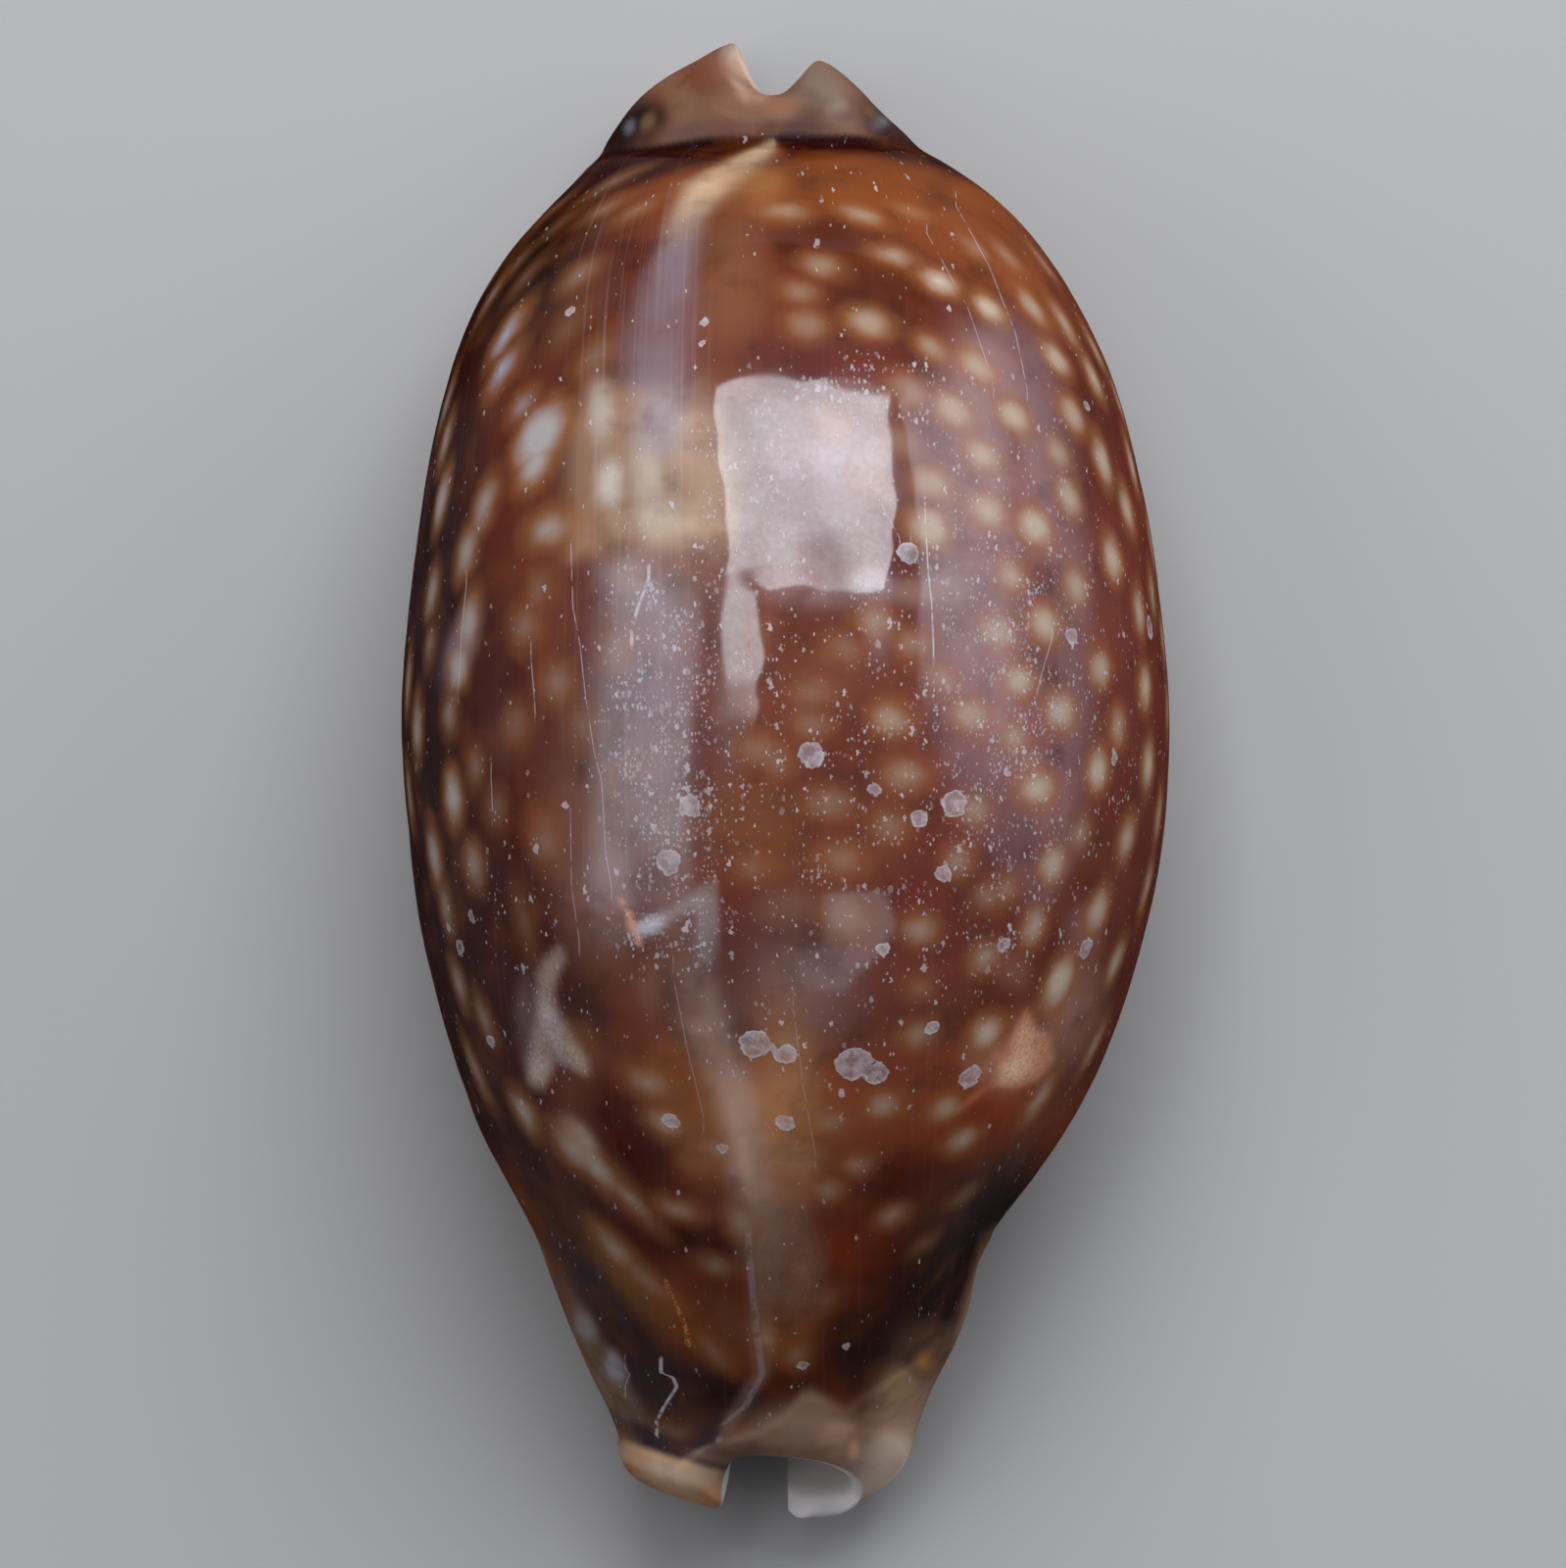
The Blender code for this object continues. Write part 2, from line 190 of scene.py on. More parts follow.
def outer_face(s, around):
    """The outer face: labral lip, left base, left back, right back, right base, columellar lip, columella."""
    left_crest, right_crest = s.left_edge - s.labral_roll, s.right_edge + s.columellar_roll
    below, above, rise = s.margin - s.base, s.top - s.margin, s.lip_top - s.base

    def labral_lip(t):
        tooth = s.labral_tooth * (1 - ease(t, 0.25, 0.8))
        return arc(left_crest, s.lip_top, s.labral_roll + tooth, rise + tooth, 0, -90, t)

    def columellar_lip(t):
        tooth = s.columellar_tooth * ease(t, 0.2, 0.75)
        return arc(right_crest, s.lip_top, s.columellar_roll + tooth, rise + tooth, -90, -180, t)

    def columella(t):
        straight = 0.25
        tooth = s.columellar_tooth * (1 - ease(t, 0, straight))
        foot = s.right_edge + s.curl_across
        turn = np.clip((t - straight) / (1 - straight), 0, 1)
        x, z = arc(foot, s.curl_low, s.curl_across, s.curl_up, 180, s.curl_end, turn)
        rising = s.lip_top + (s.curl_low - s.lip_top) * np.clip(t / straight, 0, 1)
        chamber = np.where(t < straight, s.right_edge - tooth, x), np.where(t < straight, rising, z)
        return mix((s.right_edge, s.lip_top + 0.07 * s.canal * t), chamber, s.full)

    strips = (
        labral_lip,
        lambda t: arc(left_crest, s.margin, s.left + left_crest, below, -90, -180, t, BASE_FULLNESS),
        lambda t: arc(0, s.margin, s.left, above, 180, 90, t, BACK_FULLNESS),
        lambda t: arc(0, s.margin, s.right, above, 90, 0, t, BACK_FULLNESS),
        lambda t: arc(right_crest, s.margin, s.right - right_crest, below, 0, -90, t, BASE_FULLNESS),
        columellar_lip,
        columella,
    )
    x, z = lay_out(strips, s.y, around)
    return x, np.maximum(z, s.ground)


def inner_face(s, around):
    """The inner face, strip by strip under the outer one: a wide chamber that narrows to a canal at each end.
    The columella's edge keeps a small curl of its own until it is well inside the canal."""
    side = WALL_SIDE + 2 * ease(np.abs(s.y), 20, 34)
    wall_left, wall_right = s.left - side, s.right - side
    ceiling = s.top - WALL_BACK - ease(np.abs(s.y), 18, 33)
    foot = s.right_edge + s.curl_across
    floor_left = s.base + LABRAL_DEPTH
    floor_right = np.minimum(s.base + COLUMELLAR_DEPTH, s.curl_low - 0.8)
    middle = np.maximum(s.margin + 1, floor_left + 1.5)
    spring = s.lip_top + 0.45 * s.canal
    seam = s.lip_top + 0.14 * s.canal
    curled = 1 - ease(np.abs(s.y), 33.8, 35.6)
    flare = 0.3 + 3.4 * (1 - ease(s.y, -38.5, -34)) + 0.4 * curled
    far = s.right_edge + flare
    roof_centre = s.left_edge + (far - s.left_edge) * (0.12 + 0.38 * ease(s.y, -36, 0))
    start = s.lip_top + 0.5
    lip_centre, base_reach = s.left_edge - LIP_THICK, wall_left + s.left_edge - LIP_THICK
    curl_in, curl_high = s.curl_across - CURL_THICK, s.curl_up - CURL_THICK
    full = CHAMBER_FULLNESS
    wall_top, wall_foot = (far, spring), (s.right_edge, seam)
    curl_foot = s.right_edge + 0.5, s.lip_top + 0.02 * s.canal
    curl_tip = s.right_edge + 0.2, s.lip_top + 0.05 * s.canal

    def lip_inside(t):
        tooth = s.labral_tooth * (1 - ease(t, 0, 0.45))
        return arc(lip_centre, start, LIP_THICK + tooth, floor_left - start, 0, 90, t)

    def up_left(low, high):
        return lambda t: (s.left_edge + 0 * t, seam + (spring - seam) * (low + (high - low) * t))

    def down_wall(share):
        return mix(wall_top, wall_foot, share)

    chamber = (
        lip_inside,
        lambda t: arc(lip_centre, middle, base_reach, middle - floor_left, -90, -180, t, full),
        lambda t: arc(0, middle, wall_left, ceiling - middle, 180, 90, t, BACK_FULLNESS),
        lambda t: arc(0, middle, wall_right, ceiling - middle, 90, 0, t, BACK_FULLNESS),
        lambda t: arc(foot, middle, wall_right - foot, middle - floor_right, 0, -90, t, full),
        lambda t: arc(foot, s.curl_low, curl_in, s.curl_low - floor_right, -90, -180, t, full),
        lambda t: arc(foot, s.curl_low, curl_in, curl_high, 180, s.curl_end, t),
    )
    canal = (
        up_left(0, 0.4),
        up_left(0.4, 1),
        lambda t: arc(roof_centre, spring, roof_centre - s.left_edge, s.roof - spring, 180, 90, t),
        lambda t: arc(roof_centre, spring, far - roof_centre, s.roof - spring, 90, 0, t),
        lambda t: mix(down_wall(0.4 * t), mix(wall_top, curl_foot, t), curled),
        lambda t: mix(down_wall(0.4 + 0.25 * t), mix(curl_foot, curl_tip, 0.4 * t), curled),
        lambda t: mix(down_wall(0.65 + 0.35 * t), mix(curl_foot, curl_tip, 0.4 + 0.6 * t), curled),
    )
    return mix(lay_out(canal, s.y, around), lay_out(chamber, s.y, around), s.full)


columns = [np.linspace(low, high, steps + 1)[1:] for low, high, steps in STRIPS]
around = np.concatenate([[0.0], *columns])
ahead = np.linspace(0, 1, RINGS + 1)
ahead = ahead - END_CROWDING / (2 * np.pi) * np.sin(2 * np.pi * ahead)
front, rear = anterior_rim(around)[None, :], posterior_rim(around)[None, :]
y = front + (rear - front) * ahead[:, None]
sizes = Section(y)
outer, inner = (np.stack([x, y, z], axis=2) for x, z in (f(sizes, around) for f in (outer_face, inner_face)))
rim = inner + RIM_SIDE * (outer - inner)
inset = np.clip(np.minimum(y - front, rear - y) / NOSE, 0, 1)
thickness = (RIM_THICK + (1 - RIM_THICK) * np.sqrt(1 - (1 - inset) ** 2))[:, :, None]
outer, inner = rim + (outer - rim) * thickness, rim + (inner - rim) * thickness

# Fine relief on the outer face: the crease between the body and the posterior collar, the low swellings of
# the back, and the raised edge of the callus round the anterior canal. The mantle's two folds laid it down.
CREASE_DEPTH, CREASE_WIDTH, CALLUS_STEP, RELIEF_ROOM = 0.14, 0.45, 0.12, 0.08
RIPPLES, RIPPLE_SLOPE = 10, 0.0008
CREASE = [(-12, 33.7), (-9, 34.3), (-6.6, 34.5), (-4, 34.8), (0, 34.95), (4, 34.9), (7, 34.5), (12, 33.6)]
CALLUS_EDGE = [
    (-9.6, -35.5), (-8, -36.1), (-5.7, -36.8), (-4.9, -36.4), (-4.3, -36), (-3.6, -35.7), (-1.4, -35.1),
    (-0.3, -34.5), (0.4, -33.8), (0.9, -33.2), (1.4, -33.1), (2.2, -33.4), (3.2, -33.9), (4.2, -33.2),
    (5.5, -32.4), (7.5, -31.2), (9, -29.3), (9.9, -27.3), (10.5, -24.5),
]


def along(grid, axis):
    """Unit tangents of a grid of points along one of its two directions."""
    step = np.gradient(grid, axis=axis)
    return step / np.maximum(np.linalg.norm(step, axis=2, keepdims=True), 1e-9)


def line_y(points, x):
    """The height of a broken line of (x, y) points over x, with its ends carried on level."""
    px, py = np.array(points, float).T
    return np.interp(x, px, py)


plan_x, plan_y = outer[..., 0], outer[..., 1]
on_top = ease(around, 0.12, 0.19)[None, :] * (1 - ease(around, 0.63, 0.70))[None, :]
over_crease = plan_y - line_y(CREASE, plan_x)
to_callus = line_y(CALLUS_EDGE, plan_x) - plan_y
swell = (
    0.05 * np.sin(plan_x * 0.55 + 1.3 * np.sin(plan_y * 0.21)) * np.sin(plan_y * 0.33 + 0.7)
    + 0.025 * np.sin(plan_x * 1.3 - plan_y * 0.18 + 2) * ease(-plan_x, 2, 9)
)
ripples = np.random.default_rng(3)
for _ in range(RIPPLES):
    bearing, length = ripples.uniform(0, np.pi), ripples.uniform(1.8, 4.5)
    phase = ripples.uniform(0, 2 * np.pi)
    run = plan_x * np.cos(bearing) + plan_y * np.sin(bearing)
    swell += RIPPLE_SLOPE * length * np.sin(2 * np.pi * run / length + phase)
step = CALLUS_STEP * ease(to_callus, -0.15, 0.35) * (1 - ease(to_callus, 1.2, 3))
relief = -CREASE_DEPTH * np.exp(-((over_crease / CREASE_WIDTH) ** 2)) + step + swell
outward = np.cross(along(outer, 1), along(outer, 0))
outward /= np.maximum(np.linalg.norm(outward, axis=2, keepdims=True), 1e-9)
outer = outer + outward * ((relief - RELIEF_ROOM) * on_top * np.minimum(inset * 2, 1))[..., None]

# The colours of the outer face. Chestnut glaze lies over a paler ground in bands and clouds, darkest along
# the flanks and the anterior beak, and honey-coloured towards both ends. A few clouds are painted light:
# painted shade over the posterior left rim and the beak, and painted highlights and reflections of the lamps
# on the back and the right flank. Colours are chips of 0 to 255, and each cloud is (x, y, half width, half
# length, colour, strength), with its turn last if it has one.
CHESTNUT, UMBER, HONEY = (96, 38, 22), (40, 11, 8), (116, 58, 18)


def chip(red, green, blue):
    """A colour chip as the linear colour that a shader works in."""
    c = np.array((red, green, blue)) / 255
    return np.where(c <= 0.04045, c / 12.92, ((c + 0.055) / 1.055) ** 2.4)


tint = np.zeros(outer.shape) + chip(*CHESTNUT)


def lay(colour, share):
    """Lays a linear colour over the tint, as thickly as share says at each point."""
    tint[:] = tint + (colour - tint) * np.clip(share, 0, 1)[..., None]


def between(first, second, share):
    """Linear colours from first to second, by the share at each point."""
    return first + (second - first) * share[..., None]


def cloud(x, y, half_width, half_length, colour, strength, turn=0):
    """A soft-edged oval of colour, its length turned by so many degrees from +Y towards -X."""
    c, s = np.cos(np.radians(turn)), np.sin(np.radians(turn))
    dx, dy = plan_x - x, plan_y - y
    reach = ((dx * c + dy * s) / half_width) ** 2 + ((dy * c - dx * s) / half_length) ** 2
    lay(chip(*colour), strength * np.exp(-(reach**1.5)))


def area(outline, soft=0.4):
    """1 inside a polygon of (x, y) corners on the back, 0 outside it, and a soft edge between them."""
    corners = np.array(outline, float)
    within, away = np.zeros(plan_x.shape, bool), np.full(plan_x.shape, 99.0)
    for (ax, ay), (bx, by) in zip(corners, np.roll(corners, -1, axis=0)):
        crosses = (ay > plan_y) != (by > plan_y)
        over = (bx - ax) * (plan_y - ay) / np.where(crosses, by - ay, 1) + ax
        within ^= crosses & (plan_x < over)
        share = ((plan_x - ax) * (bx - ax) + (plan_y - ay) * (by - ay)) / ((bx - ax) ** 2 + (by - ay) ** 2)
        share = np.clip(share, 0, 1)
        away = np.minimum(away, np.hypot(plan_x - ax - share * (bx - ax), plan_y - ay - share * (by - ay)))
    return ease(np.where(within, away, -away), -soft / 2, soft / 2) * on_top


def patch(outline, colour, strength, soft=0.4):
    """Lays a colour over an area, and gives the area back."""
    covered = area(outline, soft)
    lay(chip(*colour), strength * covered)
    return covered


CLOUDS = (
    # flanks
    (-19.3, 9, 3.6, 26, (34, 7, 5), 0.95), (-17.5, -9, 3.2, 12, UMBER, 0.85, 12),
    # The near-black ovals at (-13.3, 27.8) and (-10.8, 31.3) are the dark glaze of the posterior left rim
    # with painted shade over it.
    (-13.5, -21, 3, 9, UMBER, 0.85, 38), (-13.3, 27.8, 2.9, 8, (18, 3, 2), 1, -38),
    (-10.8, 31.3, 1.2, 2.8, (20, 4, 3), 0.9, -40), (19.5, 3, 2.2, 24, (90, 30, 18), 0.7),
    (17.5, -13, 2.4, 9, (86, 28, 16), 0.7, -28),
    # posterior end
    (2.5, 31.8, 13, 3, HONEY, 1), (10.5, 29, 2.6, 6.5, (122, 62, 26), 0.9, 50),
    (-3, 27, 2.4, 5, (112, 68, 44), 0.9), (-10.3, 25.5, 2.6, 5.5, (80, 34, 20), 0.8, -20),
    # The mauve-grey oval at (1.2, 16.4) and the pale ones at (3.6, 16.6) and (1, 9.8) are a painted
    # highlight, laid where the top lamp's reflection lies on the back.
    (2.3, 28.7, 3.4, 1.9, (74, 28, 14), 0.9), (1.2, 16.4, 5, 5, (112, 94, 98), 0.7),
    (3.6, 16.6, 2, 3.6, (158, 140, 140), 0.6), (1, 9.8, 4.4, 1.1, (126, 90, 84), 0.5),
    (2, 25.6, 2.4, 1.6, (88, 36, 20), 0.7), (5, 25.6, 2.9, 2.8, (74, 30, 18), 0.9),
    (8.4, 24.4, 2, 1.4, (88, 40, 30), 0.8, 30), (1.5, 22.6, 4.5, 1.5, (92, 44, 36), 0.8),
    # middle
    (-7.6, 16.2, 3.6, 4.4, (158, 140, 120), 1), (-4.6, 15.2, 2.4, 3.6, (160, 142, 122), 0.9),
    (-7, 11.2, 3, 2.2, (138, 116, 108), 0.8), (-12.5, 9.5, 2.8, 7, (98, 48, 32), 0.8),
    (-15.2, 4, 1.8, 6, (70, 32, 28), 0.8), (-7.7, 4, 2.8, 10.5, (128, 112, 120), 0.55),
    (-11, -2, 2.4, 6, (112, 74, 62), 0.7), (-1, 5.5, 2.6, 5, (104, 54, 32), 0.6),
    (3.5, 6, 3.6, 2.6, (106, 56, 40), 0.8), (5, 0, 5.5, 2.2, (94, 42, 26), 0.8),
    (-2.2, -2.2, 3, 2.4, (110, 64, 32), 0.8), (1.6, -4.2, 4, 1.6, (110, 58, 30), 0.7),
    (12.8, 6, 5.6, 9, (124, 62, 48), 0.8), (0, -8.8, 8, 2.2, (86, 36, 26), 0.8),
    (-14.4, -8, 2, 6, (58, 22, 18), 0.9, 8), (-10.8, -12, 1.6, 2.8, (64, 30, 25), 0.9, 20),
    (-9.4, -9.8, 1.6, 2.4, (102, 56, 32), 0.8, 20), (-4.3, -13, 2.4, 3.6, (96, 66, 60), 0.7, 10),
    (-9.3, -3.5, 1, 5, (124, 98, 86), 0.6, 6), (0.9, -11.4, 3.2, 3.8, (128, 100, 98), 0.5),
    # The pale ovals at (4.6, 10.4) and (8.6, 10.2) are painted highlight along the lower edge of the top
    # lamp's reflection.
    (4.6, 10.4, 1, 0.9, (176, 162, 174), 0.75), (8.6, 10.2, 1.2, 1, (146, 118, 112), 0.5),
    (-10.2, -6.6, 1.8, 2.8, (128, 94, 84), 0.6), (9.5, -19, 5.4, 4, (184, 96, 32), 0.5),
    (0.5, -18, 6.4, 4, (160, 84, 24), 0.35), (13.2, 15.5, 1.6, 5, (140, 100, 96), 0.35),
    (0.2, -20.8, 1.6, 2.2, (196, 146, 108), 0.65), (-5.4, -19.8, 1.8, 2.4, (150, 84, 28), 0.55),
    (-9.2, -5.8, 1.2, 2.6, (150, 124, 122), 0.65), (15.4, -12.4, 1.5, 2.8, (164, 118, 98), 0.65, -15),
    (11, -15.6, 1.5, 1.6, (190, 130, 106), 0.75), (-6.4, 12.4, 2.6, 0.9, (150, 122, 108), 0.6),
    (-15, 2, 1, 1.4, (110, 66, 56), 0.5), (-11, -16.8, 1, 1.6, (124, 86, 72), 0.55, 20),
    (-4, -15.6, 1.1, 1.7, (118, 96, 106), 0.6, 12), (13, -14.2, 1.6, 2, (168, 108, 80), 0.6, -20),
    (1, -10.2, 1.8, 1.4, (128, 96, 88), 0.5), (0, -6.7, 1.8, 1, (128, 88, 66), 0.6),
    (-3, 6.5, 1, 6, (124, 98, 94), 0.6), (4, -15.8, 2.4, 1.2, (146, 72, 26), 0.6),
    (3.6, -22, 1.8, 1.4, (140, 66, 26), 0.5), (-14.9, 24.4, 2, 2.6, (84, 52, 40), 0.4, -20),
    (-11, 25.6, 1.6, 2.4, (92, 60, 46), 0.4, -20),
    # towards the anterior end
    (3, -17.6, 9, 2.6, (132, 62, 28), 0.95), (0.4, -17, 1.6, 1.8, (148, 108, 78), 0.8),
    (-0.2, -17.8, 2.1, 5.8, (186, 126, 80), 0.65), (5, -21, 7, 5, (136, 54, 10), 0.28),
    (6, -15, 3, 1.2, (126, 52, 28), 0.8), (-5.4, -15.8, 2.6, 2.4, (134, 74, 30), 0.9, 20),
    (-3.6, -18.6, 2.2, 2.8, (142, 86, 42), 0.9, 30), (11.5, -18.8, 3.6, 2.2, (134, 50, 16), 0.9, -30),
    (-8.3, -19.2, 1.8, 4.4, (72, 18, 8), 0.95, 40), (-5.4, -24.8, 4.2, 1.3, (56, 18, 10), 0.9, -8),
    (7.2, -21.8, 4.4, 2.2, (80, 20, 8), 0.95), (11.4, -23.6, 2.8, 5, (26, 6, 4), 1, -35),
    (4.2, -25.4, 2.8, 2.2, (104, 36, 12), 0.85), (8, -28.4, 3.4, 4.6, (22, 8, 6), 1, -15),
    (4.6, -30.6, 3, 2.6, (40, 16, 12), 0.95), (-13.2, -24.6, 1.1, 5.6, (104, 56, 22), 0.85, 40),
    (-8.4, -27, 1.3, 4.6, (108, 70, 38), 0.9, 45), (-4.2, -29.6, 1.6, 3.2, (118, 60, 28), 0.9, 42),
    (-0.2, -29.2, 1.9, 2.8, (132, 78, 44), 0.9), (-9.6, -29.2, 1.1, 4.6, (30, 14, 13), 0.9, 40),
    # The dark ovals at (-6.4, -33) and (-6.3, -34.9) are the beak's dark glaze with painted shade over it,
    # between the body and the left lobe.
    (-3, -28.8, 1.2, 1.8, (122, 72, 42), 0.6, 30), (-6.4, -33, 2, 3.6, (58, 44, 44), 1, 62),
    (-6.3, -34.9, 1, 2.8, (44, 30, 30), 0.95, 75), (-3.2, -33.2, 1.2, 2.6, (46, 26, 24), 1, 70),
    (0.4, -32.4, 0.7, 1.8, (66, 28, 20), 0.8, 80), (-11, -30.6, 1.1, 5, (112, 92, 78), 0.9, 22),
    (-9.2, -33.4, 0.9, 2, (136, 116, 102), 0.9, 40),
)
for oval in CLOUDS:
    cloud(*oval)

# The pale line along the back, where the two folds of the mantle met. It is fawn at its posterior end, lilac
# in the middle and cream towards the anterior end. Each of its points is (x, y, half width).
SEAM = (
    (-0.8, 34.7, 0.4), (-1.9, 33.6, 1.1), (-3.9, 32.2, 1.4), (-5.3, 30.2, 1), (-5.8, 28.3, 1.15),
    (-6.9, 24, 1.9), (-7.2, 19, 1.9), (-7, 10, 1.5), (-6.8, 0, 1.5), (-5.9, -7, 1.3), (-4.2, -13, 1.3),
    (-2.6, -17, 1.2), (-1.9, -21, 1.25), (-0.9, -25, 1), (-1.4, -29, 0.6), (-1.3, -32, 0.5),
    (-3.2, -35, 0.5),
)
seam_y = -np.array([p[1] for p in SEAM])
seam_x = np.interp(-plan_y, seam_y, [p[0] for p in SEAM])
seam_width = np.interp(-plan_y, seam_y, [p[2] for p in SEAM])
seam = np.exp(-np.abs((plan_x - seam_x) / seam_width) ** 3)
seam *= np.interp(
    plan_y, (-36, -33, -28, -24, -21, -15, -9, 0, 12, 19, 24, 33, 34.6),
    (0.25, 0.3, 0.2, 0.3, 0.7, 0.6, 0.15, 0.15, 0.3, 0.7, 0.8, 1, 0.9),
)
seam_tint = between(chip(196, 166, 148), chip(126, 110, 118), ease(plan_y, -10, 5))
seam_tint = between(seam_tint, chip(192, 162, 130), ease(plan_y, 28, 32))
lay(seam_tint, 0.85 * seam * on_top)

# Worn places of the back, where the glaze is thin, scuffed or chipped off, and a film of dried deposit. The
# bare ground that shows in them is cream, salmon or grey. A faint lilac veil over the right side of the back
# is a painted reflection of the right-hand lamp, and the glaze is kept glossier under it.
patch(
    [(-11.3, 20.2), (-10.4, 21.4), (-7, 20.6), (-5, 19.4), (-3.2, 18.2), (-3, 12.6), (-7, 12.5),
     (-9.6, 12.3), (-11.6, 11.8)], (154, 116, 90), 0.85, 1.4,
)
for oval in (
    (-4.8, 17, 1.6, 3.6, (174, 144, 120), 0.85), (-9.9, 19.7, 0.7, 1.7, (176, 162, 148), 0.95),
    (-9.4, 15.9, 0.75, 1.3, (200, 188, 174), 1), (-7.3, 15.6, 0.9, 2.2, (194, 180, 160), 0.95, 8),
    (-6.4, 14.2, 1.6, 1.3, (190, 172, 152), 0.8, 10), (-4.5, 14.2, 1.3, 1.3, (180, 156, 132), 0.8),
    (-8.9, 13.2, 0.8, 0.6, (164, 142, 114), 0.8), (-6.8, 19, 1.5, 1.9, (152, 144, 150), 0.8),
    (-5.4, 11.6, 2.2, 0.8, (128, 82, 66), 0.7), (-8.4, 11, 1.3, 0.9, (150, 126, 118), 0.7),
):
    cloud(*oval)
worn = patch(
    [(12.9, -12.4), (13.4, -13.2), (14.2, -13.7), (14.35, -15), (13.7, -15.9), (12.4, -16.4), (11.3, -16.2),
     (11.2, -15.6), (11.9, -14.6), (12.2, -13.8)], (200, 130, 90), 0.95, 0.7,
)
cloud(-10.9, -14.2, 1.1, 1.8, (128, 82, 50), 0.6, 30)
cloud(-13.95, -12.8, 0.6, 2.2, (124, 100, 98), 0.6)
white_scuff = patch(
    [(-12.05, -8.9), (-12.9, -9.6), (-13.25, -10.4), (-13.1, -11.3), (-13.3, -12.6), (-13.5, -13.8),
     (-13.9, -15), (-13.7, -16.1), (-13.1, -16.4), (-12.6, -15.6), (-12.3, -14.9), (-11.4, -15.3),
     (-10.7, -15.6), (-10.7, -14.9), (-11.4, -13.7), (-12, -12.7), (-12.5, -11.6), (-12.35, -10.4),
     (-11.85, -9.5)], (172, 146, 134), 0.8, 0.9,
)
patch(
    [(-3.7, -5.2), (-4.6, -5.7), (-6.9, -7.2), (-7, -8.1), (-5.6, -7), (-4.9, -6.6), (-4.7, -9.6),
     (-3.9, -9.9), (-3.6, -7.8)], (138, 124, 122), 0.7, 0.6,
)
patch(
    [(-8.75, -6.4), (-8.4, -6.9), (-7.95, -7.6), (-7.8, -8.9), (-8.15, -8.3), (-8.5, -7.4)],
    (236, 160, 130), 1, 0.25,
)
cloud(-5.4, -6.8, 0.35, 1.4, (150, 140, 142), 0.5, -67)
cloud(-7.25, -7.7, 0.42, 0.95, (206, 204, 214), 0.95, -67)
patch(
    [(2.1, -6), (5.4, -5.9), (5.9, -7.8), (4.8, -9.5), (3, -11.3), (0.4, -10.9), (0.6, -9.1), (2.1, -8.7)],
    (132, 106, 102), 0.65, 0.5,
)
film_fan = patch(
    [(-2.8, -22.5), (0.6, -22.8), (2.1, -25), (1.9, -28.3), (0.5, -28.9), (-1.2, -27.5), (-2.4, -25.5)],
    (120, 92, 74), 0.6, 1.8,
)
# A faint lilac veil over the right side of the back: a painted reflection of the right-hand lamp. Its area
# also keeps the glaze glossier.
painted_sheen_and_gloss = patch(
    [(6.5, 18.2), (9.2, 22.6), (11.4, 25.6), (14.1, 23.6), (15.6, 17), (16.4, 10.5), (16.4, 4),
     (15.8, -3.5), (13.5, -7.5), (11.6, -4.5), (9.6, -2), (7.8, 3.7), (7.2, 12.6), (6.2, 13.6)],
    (156, 146, 160), 0.15, 2.2,
)
